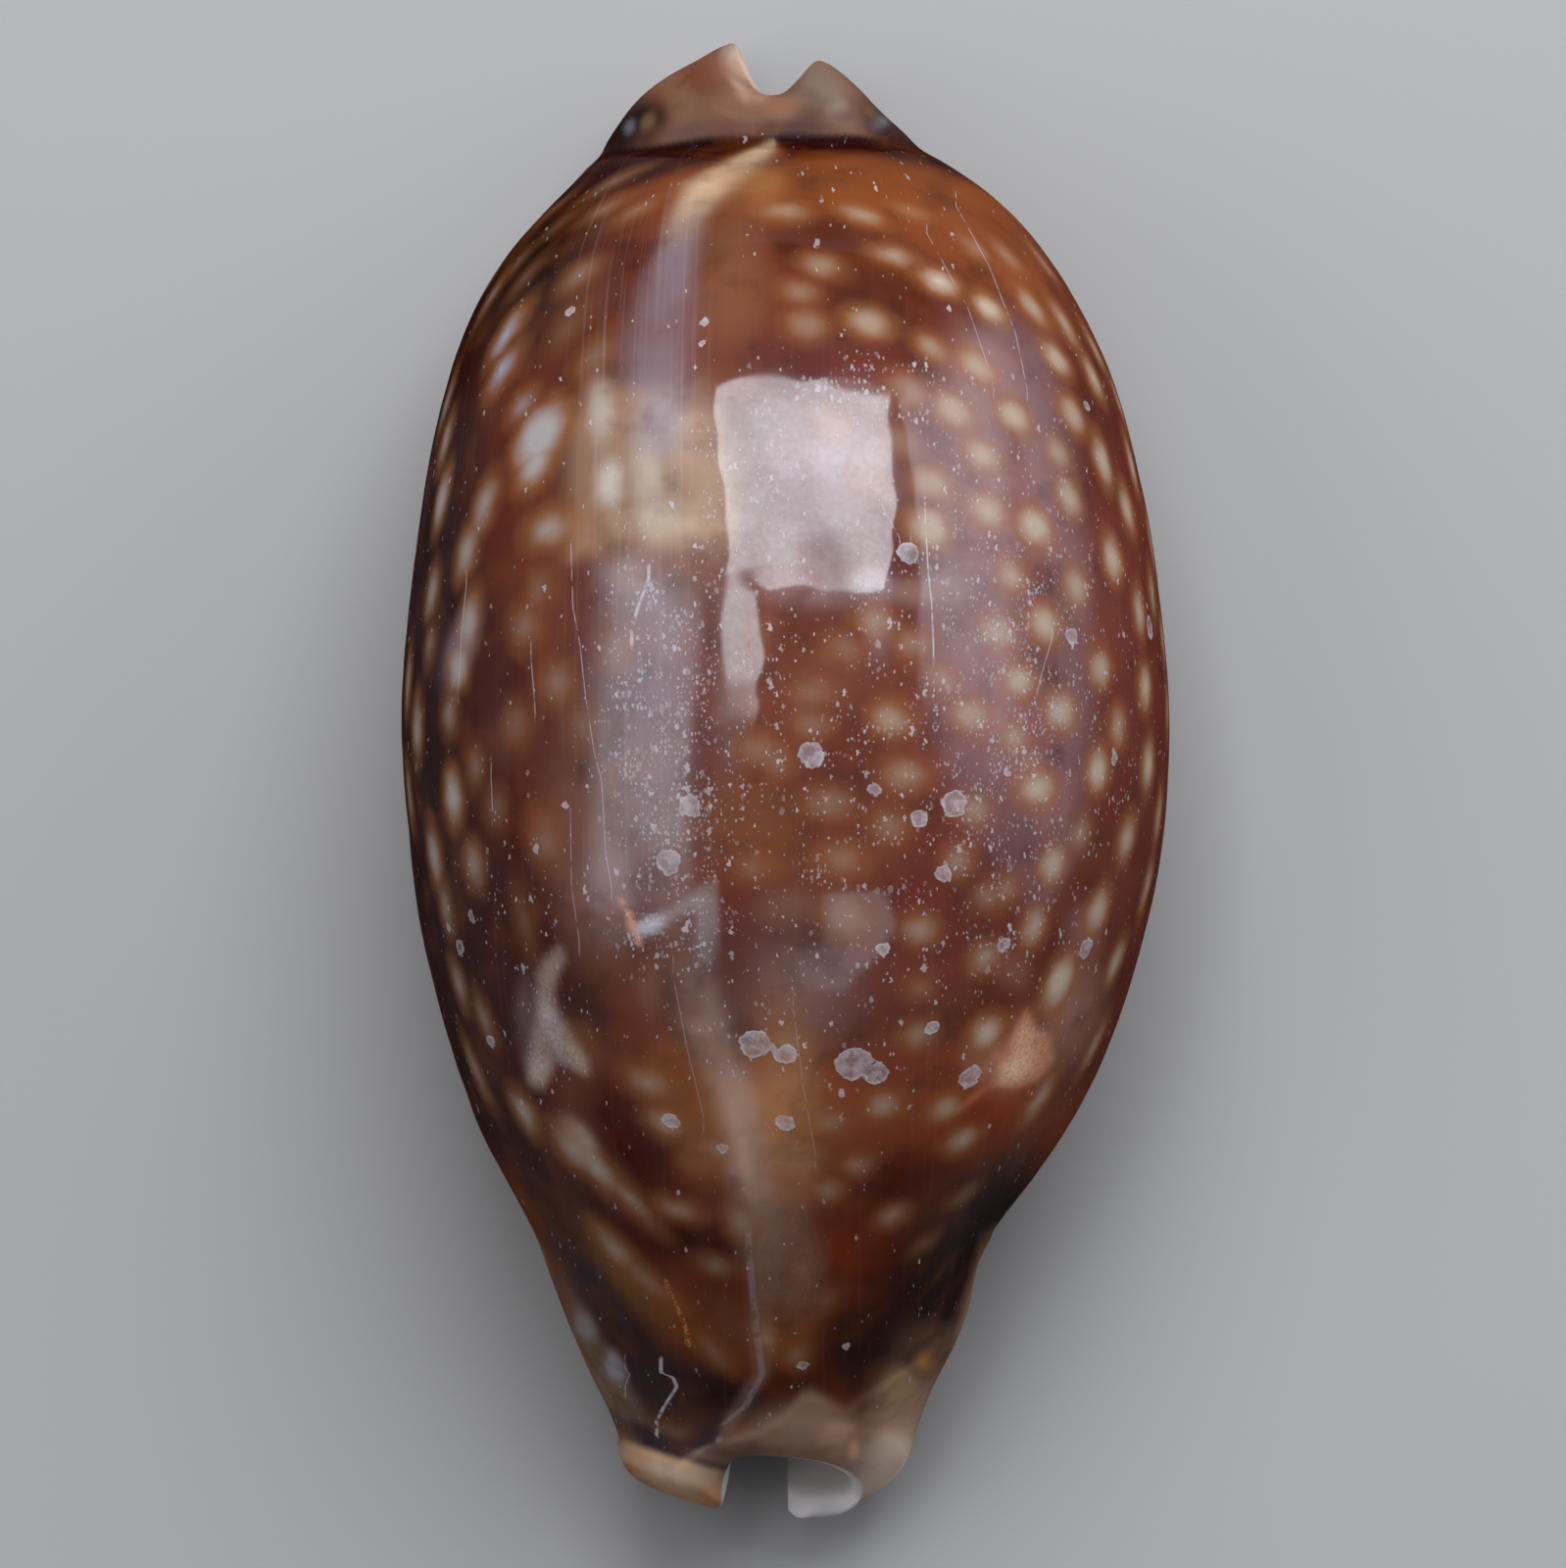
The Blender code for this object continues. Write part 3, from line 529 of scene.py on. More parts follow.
for oval in (
    (-2.2, -20.2, 0.5, 2.4, (206, 172, 144), 0.5, 12), (12.35, -15.4, 0.6, 1, (220, 188, 152), 0.8, -50),
    (9.95, -17.1, 0.2, 1.3, (186, 112, 70), 0.6, -52), (3, -6.8, 0.9, 0.8, (140, 122, 116), 0.6),
    (-12.55, -13.2, 0.45, 1.6, (206, 196, 198), 0.85, 20),
    (-13.3, -15.5, 0.55, 0.9, (200, 186, 168), 0.7, -15),
    (-11.3, -14.6, 0.4, 1.1, (186, 168, 138), 0.6, 30), (-12.6, -10.4, 0.4, 1.2, (176, 148, 134), 0.5, -20),
    (-11.1, -19.4, 0.7, 1.4, (200, 184, 168), 0.9, 32),
    (-10.9, -29.6, 0.55, 0.95, (150, 144, 144), 0.8, 24),
    (-9.3, -31.7, 0.55, 0.95, (176, 172, 176), 0.9, 24), (-10.3, -31, 0.6, 0.8, (124, 100, 64), 0.7, 24),
    (-9.2, -33.3, 0.7, 0.9, (130, 104, 74), 0.8, 24), (-0.95, -30.1, 0.5, 0.7, (170, 140, 104), 0.8),
    (3.2, -24.9, 1.2, 1, (128, 46, 16), 0.5), (-9.9, -27.8, 0.9, 4.8, (40, 36, 42), 0.85, 40),
    # The pink ovals at (14, -1) and (16, -8) are a painted reflection of the right-hand lamp on the flank.
    (14, -1, 1.3, 1.8, (170, 120, 110), 0.4), (16, -8, 1, 1.4, (156, 116, 108), 0.4),
    (12.2, -10.2, 1, 1.1, (156, 104, 84), 0.4), (-13, -14, 0.6, 1.1, (190, 176, 166), 0.5, 10),
    (-5, -12, 0.8, 0.9, (84, 40, 28), 0.45), (-7.2, -11, 0.8, 1.4, (136, 96, 80), 0.45),
    (-5, -20.2, 0.9, 1, (150, 96, 58), 0.45), (0, -20.2, 1.8, 1, (196, 146, 108), 0.4),
    # The near-black oval at (-12.2, 29.4) adds painted shade over the dark glaze of the posterior left rim.
    (-17, -4, 0.6, 0.8, (110, 84, 72), 0.5), (-12.2, 29.4, 0.9, 2.4, (14, 3, 2), 0.6, -45),
    (-13, 24, 0.9, 1.2, (50, 20, 14), 0.5), (-11.3, 20.3, 0.7, 0.9, (84, 44, 30), 0.5),
    (-5, 20.4, 0.9, 0.8, (110, 84, 80), 0.45), (-17.2, 14, 0.5, 1.2, (60, 20, 14), 0.5),
    # The pale oval at (10.4, 22) is a painted reflection of the right-hand lamp.
    (-9, 14, 0.6, 0.6, (190, 168, 138), 0.5), (10.4, 22, 1.8, 2.8, (168, 130, 122), 0.25, 20),
    # The pale ovals at (5, 8), (3, 10) and (6.8, 10.1) are painted highlight: the soft lower edge and tail of
    # the top lamp's reflection.
    (-1.2, 32.2, 1.3, 1.1, (192, 132, 72), 0.35), (5, 8, 0.7, 1.5, (150, 122, 124), 0.5),
    (3, 10, 4.4, 0.7, (150, 116, 112), 0.5), (6.8, 10.1, 0.9, 0.8, (178, 150, 134), 0.3),
    (-13, 20, 0.8, 1, (70, 30, 20), 0.5), (12.9, -14, 0.7, 0.9, (228, 180, 144), 0.5),
    # The ovals at (13, 0.4) and (11.2, 19.6) are painted reflections of the right-hand lamp, and the bluish
    # oval at (-17.4, 7.3) is a painted sheen of the left-hand lamp on the flank.
    (13, 0.4, 0.8, 1.2, (176, 128, 112), 0.4), (-1, 8, 0.8, 1, (132, 82, 62), 0.45),
    (-17.4, 7.3, 0.7, 1.9, (150, 150, 182), 0.55, -19), (11.2, 19.6, 2.2, 4, (170, 136, 128), 0.2, 15),
    (7.1, 21.6, 0.7, 1.1, (70, 30, 20), 0.5), (-3.7, 18.2, 1.5, 1.2, (128, 98, 86), 0.45),
    (-3, 32, 0.8, 0.7, (150, 104, 64), 0.4), (8.2, 31.9, 1.6, 0.6, (84, 36, 18), 0.4, 65),
):
    cloud(*oval)
scuffed = np.maximum(np.maximum(worn, white_scuff), 0.25 * film_fan)

# The collar, the two ends and the base, where a callus of enamel covers the glaze. It is fawn to cream, and
# smoky next to the body. The teeth are dark ridges with pale gaps. Painted shade lies along the crease and in
# the groove over the left lobe, and painted light on the notch's rim, the canal wall and the lip's anterior
# end.
collar = ease(over_crease, -0.1, 0.25)
lay(chip(118, 84, 66), collar)
for oval in (
    (-4.6, 38.2, 1, 1.6, (104, 58, 46), 0.8, 40), (-5.9, 37, 0.9, 1.3, (134, 100, 74), 0.7, 30),
    (-2.6, 36.6, 1.6, 0.8, (132, 94, 72), 0.6), (-8, 35.9, 1.7, 1.3, (30, 18, 22), 0.95, 35),
    (-9.4, 34.8, 1.8, 1.2, (28, 14, 16), 0.95, 40), (-7.3, 35.6, 0.8, 1.3, (40, 24, 24), 0.7, -20),
    (-8.5, 35.5, 0.3, 0.45, (104, 102, 110), 0.7, -20), (-7.5, 35.7, 0.4, 0.6, (116, 94, 70), 0.7, -20),
    # The pale ovals at (-2.9, 39.3), (-2.4, 38) and (-1.6, 37.2) are a painted highlight along the rounded
    # left rim of the notch.
    (-4, 35.2, 3, 0.6, (104, 76, 70), 0.8, 4), (-2.9, 39.3, 0.45, 1.1, (186, 160, 146), 0.85, 12),
    (-2.4, 38, 0.4, 1, (194, 164, 144), 0.85, 15), (-1.6, 37.2, 1, 0.5, (170, 134, 110), 0.7),
    (0.1, 36.4, 1.4, 0.8, (144, 102, 78), 0.7), (0.9, 35.5, 1.6, 0.5, (88, 64, 62), 0.8),
    (2, 37.7, 1.4, 1.3, (122, 104, 92), 0.85), (2.8, 36.4, 0.7, 0.7, (134, 122, 112), 0.8),
    (5.8, 35.3, 2.2, 1.3, (44, 32, 34), 0.95, -40), (1.2, 36.1, 0.9, 0.5, (84, 58, 48), 0.6),
    (4.7, 36.3, 0.35, 0.4, (132, 92, 58), 0.5), (5.2, 35.8, 0.5, 0.4, (116, 112, 118), 0.7, 30),
    (3.3, 35.5, 0.5, 0.5, (118, 96, 80), 0.7), (3.2, 36, 0.7, 0.35, (94, 72, 64), 0.6),
    (7.4, 34.2, 1.7, 0.6, (34, 20, 20), 0.9, -25), (5.2, 36.4, 0.8, 0.5, (70, 56, 54), 0.5, 30),
):
    cloud(*oval)
below_crease = ease(-over_crease, -0.1, 0.1) * on_top
LEFT_BAND = [(-12, 31.2), (-9, 31.9), (-6.6, 32.6), (-5, 32.9), (-3.5, 33.5), (-1.8, 34.3), (-0.6, 34.9)]
RIGHT_BAND = [(-0.6, 34.6), (0.3, 33.8), (2, 33.8), (4, 33.9), (6, 33.7), (8, 33.3), (12, 31.6)]
band_edge = np.where(plan_x < -0.55, line_y(LEFT_BAND, plan_x), line_y(RIGHT_BAND, plan_x))
lay(chip(40, 8, 5), ease(plan_y - band_edge, -0.4, 0.5) * below_crease)
# A thin dark line along the bottom of the crease is painted shade in it.
lay(chip(28, 16, 18), 0.9 * np.exp(-((over_crease / 0.18) ** 2)) * on_top)

callus = ease(to_callus, -0.25 - 0.5 * ease(plan_x, -4, -2.5), 0.45 + 1.8 * ease(plan_x, 1.5, 4.5))
lay(chip(142, 112, 94), callus)
for oval in (
    (6.2, -34.4, 1.6, 2.4, (164, 130, 106), 0.85), (7.8, -30.9, 1.8, 1.6, (104, 78, 60), 0.8, -30),
    (10.3, -28.2, 0.5, 3.2, (168, 124, 94), 0.85, -16), (0.6, -35.2, 2.6, 1.4, (150, 120, 102), 0.9),
    (-2.4, -36.2, 1.4, 0.6, (104, 78, 70), 0.8), (3, -35.7, 1.2, 1.1, (196, 156, 132), 0.85),
    # The orange-white fleck at (3.7, -36.2) is a painted highlight on the edge of the canal wall.
    (3.7, -36.2, 0.28, 0.6, (246, 184, 144), 0.95), (6.2, -32.6, 0.85, 0.95, (152, 124, 88), 0.85),
    (7.5, -31.4, 0.5, 0.6, (160, 110, 60), 0.85), (-6.3, -37.6, 2.2, 3.4, (192, 160, 128), 0.95, 72),
    (-7.9, -37, 0.7, 0.7, (196, 132, 84), 0.7), (-6.6, -37.3, 0.4, 2.2, (210, 188, 166), 0.55, 72),
    (-6.2, -38.9, 0.45, 2.6, (212, 148, 104), 0.85, 72), (-8.6, -37.4, 0.4, 0.5, (150, 84, 52), 0.7),
    # The near-white oval at (5.6, -37.4) is the lip's pale enamel made lighter by painted light, where the
    # lip's anterior end faces away from the lamps.
    (-4.1, -38.8, 0.6, 0.9, (204, 138, 88), 0.7, -10), (5.6, -37.4, 1.8, 2.2, (230, 204, 184), 0.9, -40),
    # The dark ovals at (-4.1, -36.1) and (-4.2, -36.85) are painted shadow in the groove along the top of the
    # left lobe.
    (-4.1, -36.1, 0.8, 1.3, (78, 56, 48), 0.8, 73), (-4.2, -36.85, 0.28, 1.9, (66, 56, 58), 0.85, 73),
):
    cloud(*oval)
# A dark band just outside the callus edge over the left lobe: painted shadow in the groove between the lobe
# and the body.
painted_shadow_above_lobe = ease(-to_callus, -0.15, 0.35) * (1 - ease(-to_callus, 0.9, 1.9)) * ease(-plan_x, 3, 4.2)
lay(chip(50, 38, 40), painted_shadow_above_lobe * (1 - 0.5 * ease(-plan_x, 7.5, 9)))

depth = np.clip((sizes.margin - outer[..., 2]) / (sizes.margin - sizes.base), 0, 1)
under = ease(depth, 0.35, 0.75) * np.where((around < BASE) | (around > SIDE), 1, 0)[None, :]
lay(chip(150, 112, 84), under)
lay(chip(168, 134, 108), ease(depth, 0.7, 1) * under)
labral, columellar = (around < LIP + 0.03)[None, :], (around > BASE_2 - 0.015)[None, :]
labral_reach = 1 - ease(around, LIP * 0.55, LIP + 0.01)[None, :]
columellar_reach = ease(around, BASE_2 + 0.01, BASE_2 + 0.04) * (1 - ease(around, LIP_2 + 0.03, LIP_2 + 0.05))
tooth = np.where(labral, sizes.labral_tooth / TOOTH_HEIGHT * labral_reach, 0)
tooth = np.where(columellar, sizes.columellar_tooth / TOOTH_HEIGHT * columellar_reach[None, :], tooth)
lay(chip(66, 30, 22), 0.9 * ease(tooth, 0.15, 0.75))
inner_lip = ease(around, LIP_2 + 0.02, LIP_2 + 0.06)[None, :] * np.ones(plan_x.shape)
lay(chip(150, 132, 138), inner_lip)

# White spots under the glaze, each with its place, its reach round and along the shell, and how clear it is.
# Each one is a pale heart in an amber ring. Low on the flanks they lie at random, as close as they can.
SPOTS = (
    # posterior labral quarter
    (-12.5, 31, 0.35, 0.6, 0.3), (-12.3, 30, 0.35, 0.6, 0.25), (-14.4, 28, 0.4, 0.7, 0.3),
    (-14.1, 27.1, 0.4, 0.7, 0.3), (-15.9, 26.2, 0.45, 1.1, 0.5), (-17.6, 23.8, 0.5, 1.2, 0.55),
    (-15.1, 24.1, 0.7, 1.3, 0.95), (-15.2, 22.1, 0.8, 1.1, 0.85), (-18.3, 20.5, 0.7, 1.3, 0.7),
    (-11, 27.1, 0.9, 0.9, 0.4), (-11.9, 24.3, 0.7, 1, 0.2), (-9.8, 31, 0.6, 0.7, 0.4),
    (-9.2, 32.6, 0.5, 0.8, 0.4), (-8, 30.8, 0.6, 0.7, 0.4), (-13.1, 18.4, 1.7, 1.9, 1),
    (-13.4, 16.9, 1.1, 1.3, 1), (-14.1, 20.2, 0.8, 0.8, 0.6), (-18.4, 18.2, 0.7, 1.2, 0.85),
    (-18.6, 15, 0.9, 1.5, 0.95), (-16.1, 14.7, 0.9, 1.4, 0.7), (-10.3, 22.6, 0.9, 1.1, 0.35),
    (-12.7, 13.5, 1.3, 0.9, 0.8),
    # middle of the labral side
    (-17.1, 12.1, 0.9, 1.4, 0.75), (-19, 10.2, 0.9, 1.3, 0.7), (-16.9, 8.6, 0.9, 1.5, 0.85),
    (-17.7, 6.1, 1, 1.2, 0.9), (-19.2, 7.3, 0.7, 0.9, 0.5), (-20.4, 5.4, 0.8, 1.5, 0.7),
    (-19.8, 2.7, 0.9, 1.5, 0.8), (-18, 3.6, 0.7, 1, 0.6), (-17.8, -0.8, 0.9, 1.4, 1),
    (-16.6, 0.9, 0.7, 0.9, 0.4), (-13.2, 10.2, 0.8, 0.9, 0.35), (-14, 8.2, 0.9, 1, 0.4),
    (-12.1, 5.2, 1, 1, 0.4), (-14.3, 3, 0.9, 1, 0.3), (-10.8, 2.9, 0.8, 0.9, 0.3),
    (-18.9, -4, 0.9, 1.5, 0.85), (-16.7, -4.4, 0.8, 1.1, 0.6), (-20.3, -0.6, 0.8, 1.4, 0.6),
    (-15.6, -1.5, 0.8, 0.9, 0.3), (-12.8, -3.3, 0.9, 1.2, 0.35), (-9.2, 7, 0.9, 0.9, 0.3),
    # anterior labral quarter
    (-18.4, -6.8, 0.8, 1.3, 0.55), (-17.6, -10.8, 0.8, 1.2, 0.6), (-16.2, -12.8, 0.6, 1, 0.6),
    (-16.7, -15.6, 0.7, 1.5, 0.6), (-14, -7.4, 0.5, 1.2, 0.3), (-14.1, -17.9, 0.9, 1.1, 0.85),
    (-11.4, -19.7, 0.9, 1.2, 0.85), (-10.2, -20.9, 0.9, 1.3, 1), (-8.4, -22.3, 0.5, 1.3, 0.8),
    (-7.3, -16.2, 1, 0.8, 0.6), (-6.3, -18.3, 0.8, 0.8, 0.8), (-5.9, -23, 1, 0.7, 0.65),
    (-9.3, -25.1, 0.8, 1.2, 0.75), (-7.6, -26.9, 0.6, 1.3, 0.5), (-3.8, -26, 0.9, 0.8, 0.4),
    (-2.5, -23.6, 0.8, 1.1, 0.5), (-3.8, -19.6, 0.9, 0.7, 0.4), (-3.8, -30.8, 0.5, 1, 0.4),
    (-1, -30.2, 0.4, 0.8, 0.6), (0.6, -31, 0.5, 0.7, 0.4),
    # posterior columellar quarter
    (0, 30.6, 1.2, 0.9, 0.45), (4.2, 30.4, 1, 0.9, 0.55), (6.7, 30.6, 0.8, 0.7, 0.3),
    (5.8, 28.3, 0.9, 0.7, 0.6), (2, 27.7, 1, 0.8, 0.5), (0.8, 26.2, 0.9, 0.8, 0.4),
    (1.2, 24.4, 1.1, 1, 0.4), (4.5, 24.4, 1.2, 1, 0.65), (8.2, 26.8, 1, 0.8, 1),
    (10.9, 25.3, 0.9, 0.9, 0.95), (7.8, 23.2, 0.8, 0.8, 0.6), (10.4, 22.1, 1, 1, 0.75),
    (12, 28.3, 0.8, 1, 0.4), (10.2, 28.6, 0.8, 0.9, 0.35), (14, 28, 0.6, 1.1, 0.5),
    (13.4, 25.5, 0.9, 1.1, 0.7), (15.1, 24.7, 0.8, 1.3, 0.7), (16.7, 23.3, 0.7, 1.2, 0.7),
    (14.6, 22.7, 1, 1, 0.8), (16.6, 21.6, 0.8, 1.1, 0.9), (18, 20.6, 0.7, 1.2, 0.7),
    (12.2, 19.4, 1.1, 1, 0.85), (9.1, 19.8, 1.1, 1, 0.65), (15.5, 19.5, 1, 1.1, 0.75),
    (14.6, 17.6, 0.9, 0.9, 0.6), (17.1, 17.2, 0.9, 1.3, 0.9), (18.8, 17.2, 0.8, 1.4, 0.85),
    (10.7, 17.3, 1, 0.9, 0.7), (7.9, 16, 1.1, 1, 0.6), (6.2, 18.2, 0.9, 0.9, 0.3), (15.3, 15.3, 1, 1, 0.75),
    (18.4, 14.6, 0.9, 1.2, 0.85), (10.8, 14.5, 1.1, 0.9, 0.7), (6.4, 21, 1.1, 1, 0.4),
    (2.4, 19.2, 1, 0.9, 0.3), (4.4, 16, 1, 0.9, 0.3),
    # middle of the columellar side
    (13.4, 13.7, 1.2, 1.1, 0.95), (7.4, 13.4, 1.2, 1.1, 0.75), (17.5, 12, 1, 1.2, 0.9),
    (19.7, 12.9, 0.7, 1.3, 0.7), (15.6, 10.5, 0.9, 1, 0.7), (12.1, 10.9, 0.9, 0.8, 0.7),
    (19.8, 10.1, 0.7, 1.2, 0.7), (19, 9, 0.8, 1.2, 0.9), (14, 8.5, 1.1, 1, 0.9), (11.3, 8, 1.1, 0.9, 0.6),
    (20.4, 7.6, 0.7, 1.2, 0.7), (16.9, 6.1, 1, 1, 0.75), (12.5, 5.4, 1, 0.9, 0.8),
    (19.4, 5.1, 0.9, 1.1, 0.9), (20.7, 3.9, 0.7, 1.3, 0.6), (8.3, 5.3, 0.9, 0.8, 0.4),
    (14.7, 3.8, 1.1, 1, 0.85), (5.6, 3.3, 1.1, 0.9, 0.6), (9.7, 3.4, 1.1, 0.9, 0.6),
    (1.5, 4.8, 1, 0.8, 0.3), (1.3, 3, 1, 0.8, 0.3), (3, 7, 1, 0.8, 0.3), (6.6, 7.2, 0.9, 0.8, 0.4),
    (4.9, 8.6, 1, 0.8, 0.5), (-1.3, 1.8, 1, 0.8, 0.35), (17.9, 3, 0.8, 1, 0.7), (12.2, 2.4, 0.9, 0.8, 0.6),
    (16.7, 0.6, 1, 1.1, 0.9), (19.6, 0.9, 0.9, 1.3, 0.95), (6.5, 0.2, 1.1, 0.8, 0.5),
    (13.4, -0.4, 1.2, 0.9, 0.95), (2.3, -1.2, 1.2, 0.8, 0.35), (10.1, -1.5, 0.9, 0.8, 0.5),
    (5.7, -2.3, 1, 0.8, 0.35), (20.2, -1.8, 0.8, 1.3, 0.7), (18.4, -3, 0.9, 1.2, 0.8),
    (15.9, -3, 0.8, 0.8, 0.45), (14.3, -4.4, 1, 1, 0.8), (3.2, -4.2, 1.1, 0.8, 0.35),
    (9.4, -4.3, 0.9, 0.8, 0.5), (-0.4, 1, 0.9, 0.8, 0.3), (-1.8, -4.6, 0.9, 0.7, 0.25),
    (11.9, -5.9, 0.8, 0.7, 0.4),
    # anterior columellar quarter
    (19.6, -5.6, 0.8, 1.4, 0.7), (16.8, -6.9, 1, 1.2, 0.85), (13.2, -7.8, 0.8, 1.1, 0.8),
    (7.1, -7.9, 0.9, 0.8, 0.55), (10.6, -6.2, 0.8, 0.7, 0.4), (10.7, -9.4, 0.9, 0.8, 0.6),
    (17.8, -9.8, 0.9, 1.2, 0.75), (14.8, -10.8, 1.1, 1.5, 1), (10.9, -13.4, 1, 1, 0.95),
    (7.3, -13.6, 0.9, 0.8, 0.5), (7, -11, 0.7, 0.6, 0.3), (16.6, -14.3, 0.8, 1.3, 0.6),
    (13.7, -17.1, 0.8, 1.3, 0.7), (5.3, -17.3, 0.9, 0.8, 0.6), (8.6, -17.5, 0.9, 0.8, 0.7),
    (2.5, -18.2, 0.9, 0.7, 0.35), (9.5, -19.2, 1, 0.8, 0.8), (3.8, -20.5, 0.8, 0.7, 0.5),
    (2.2, -22, 0.8, 0.7, 0.5), (9.6, -22.3, 0.8, 0.8, 0.3), (5.7, -23.2, 0.8, 0.7, 0.6),
    (7.5, -24.8, 0.7, 0.7, 0.25), (12.8, -22.4, 0.7, 1, 0.3), (3.4, -7.4, 1.3, 1.1, 0.35),
    (1, -26.3, 0.6, 0.8, 0.3), (2.4, -28, 0.5, 0.8, 0.25), (0, -14, 0.9, 0.8, 0.3),
)
FLANK_SPOTS, FLANK_GAP, MOST_TRIES, END_RINGS = 120, 3.0, 6000, 20
SPOT_REACH, NO_SPOT = 4.0, 3.0
upper_columns = np.nonzero((around >= BASE) & (around <= SIDE))[0]
low_columns = np.nonzero(((around > 0.115) & (around < 0.2)) | ((around > 0.62) & (around < 0.705)))[0]
round_dir, long_dir = along(outer, 1), along(outer, 0)
spot, spot_clear = np.full(plan_x.shape, NO_SPOT), np.zeros(plan_x.shape)
placed = []


def nearest(x, y):
    """The ring and the column of the point of the back that lies nearest to (x, y), seen from above."""
    miss = (plan_x[:, upper_columns] - x) ** 2 + (plan_y[:, upper_columns] - y) ** 2
    ring_at, column_at = np.unravel_index(miss.argmin(), miss.shape)
    return ring_at, upper_columns[column_at]


def put_spot(ring_at, column_at, across, length, clear):
    """Takes a spot into the distances from the edge of the nearest spot, which are below 0 inside it."""
    centre = outer[ring_at, column_at]
    gap = outer - centre
    side = (gap * round_dir[ring_at, column_at]).sum(axis=2) / across
    ahead_by = (gap * long_dir[ring_at, column_at]).sum(axis=2) / length
    away = (np.sqrt(side**2 + ahead_by**2) - 1) * min(across, length)
    away = np.where((gap**2).sum(axis=2) < SPOT_REACH**2, away, NO_SPOT)
    nearer = away < spot
    spot[nearer] = away[nearer]
    spot_clear[nearer] = clear
    placed.append(centre)


for x, y_at, *shape in SPOTS:
    put_spot(*nearest(x, y_at), *shape)
random = np.random.default_rng(7)
tries = added = 0
while added < FLANK_SPOTS and tries < MOST_TRIES:
    tries += 1
    column_at = random.choice(low_columns)
    ring_at = random.integers(END_RINGS, RINGS - END_RINGS)
    if min(np.linalg.norm(outer[ring_at, column_at] - other) for other in placed) < FLANK_GAP:
        continue
    shape = random.uniform(0.7, 1.0), random.uniform(0.8, 1.15), random.uniform(0.5, 0.9)
    put_spot(ring_at, column_at, *shape)
    added += 1
spot_clear *= (1 - callus) * (1 - collar) * (1 - ease(depth, 0.3, 0.6)) * (1 - 0.7 * worn)
spot_soft = 1.15 + 0.45 * ease(-plan_x, 3, 9) * ease(plan_x, -17, -13)
spot_tint = between(chip(178, 160, 140), chip(166, 158, 150), ease(-plan_x, 6, 13))
# Spots on the posterior left flank turn bluish: partly their own pale colour, partly a painted cold sheen of
# the lamps.
spot_tint = between(spot_tint, chip(158, 162, 178), ease(-plan_x, 11, 15) * ease(plan_y, 16, 23))

# The polish of the glaze. The back is a mirror, the flanks are softer, and the callus and the base are satin.
# It is duller in a few worn places of the back and over its posterior shoulder.
satin = np.maximum(ease(over_crease, -0.6, -0.25), ease(to_callus, -0.3, 0.3))
satin = np.maximum(np.maximum(satin, ease(depth, 0, 0.5)), 0.55 * ease(-plan_y, 21, 29))
facing_up = outward[..., 2]
polish = 0.06 + 0.14 * ease(facing_up, 0.15, 0.5) + 0.8 * ease(facing_up, 0.64, 0.84)
dull = area([(0.6, 22.8), (0.4, 22), (2, 21.4), (2.8, 20.9), (4.4, 20.6), (6.4, 20.4), (6.6, 22.8)], 0.4)
dull += 0.5 * area([(0.7, 12.6), (2.6, 13.4), (3.5, 12.2), (3.3, 10), (1.6, 10), (0.8, 10.9)], 1.3)
dull += 0.4 * area([(-4.2, 7.6), (-1.4, 7.6), (-1.4, 3.5), (-4.2, 3.5)], 2)
dull += area([(-9.5, 33.2), (-13.2, 31), (-17, 27), (-19.5, 21), (-17, 20.5), (-14, 25.5), (-11, 29.5)], 2)
polish = np.maximum(polish, 0.9 * painted_sheen_and_gloss) * (1 - 0.97 * satin) * (1 - 0.85 * dull)

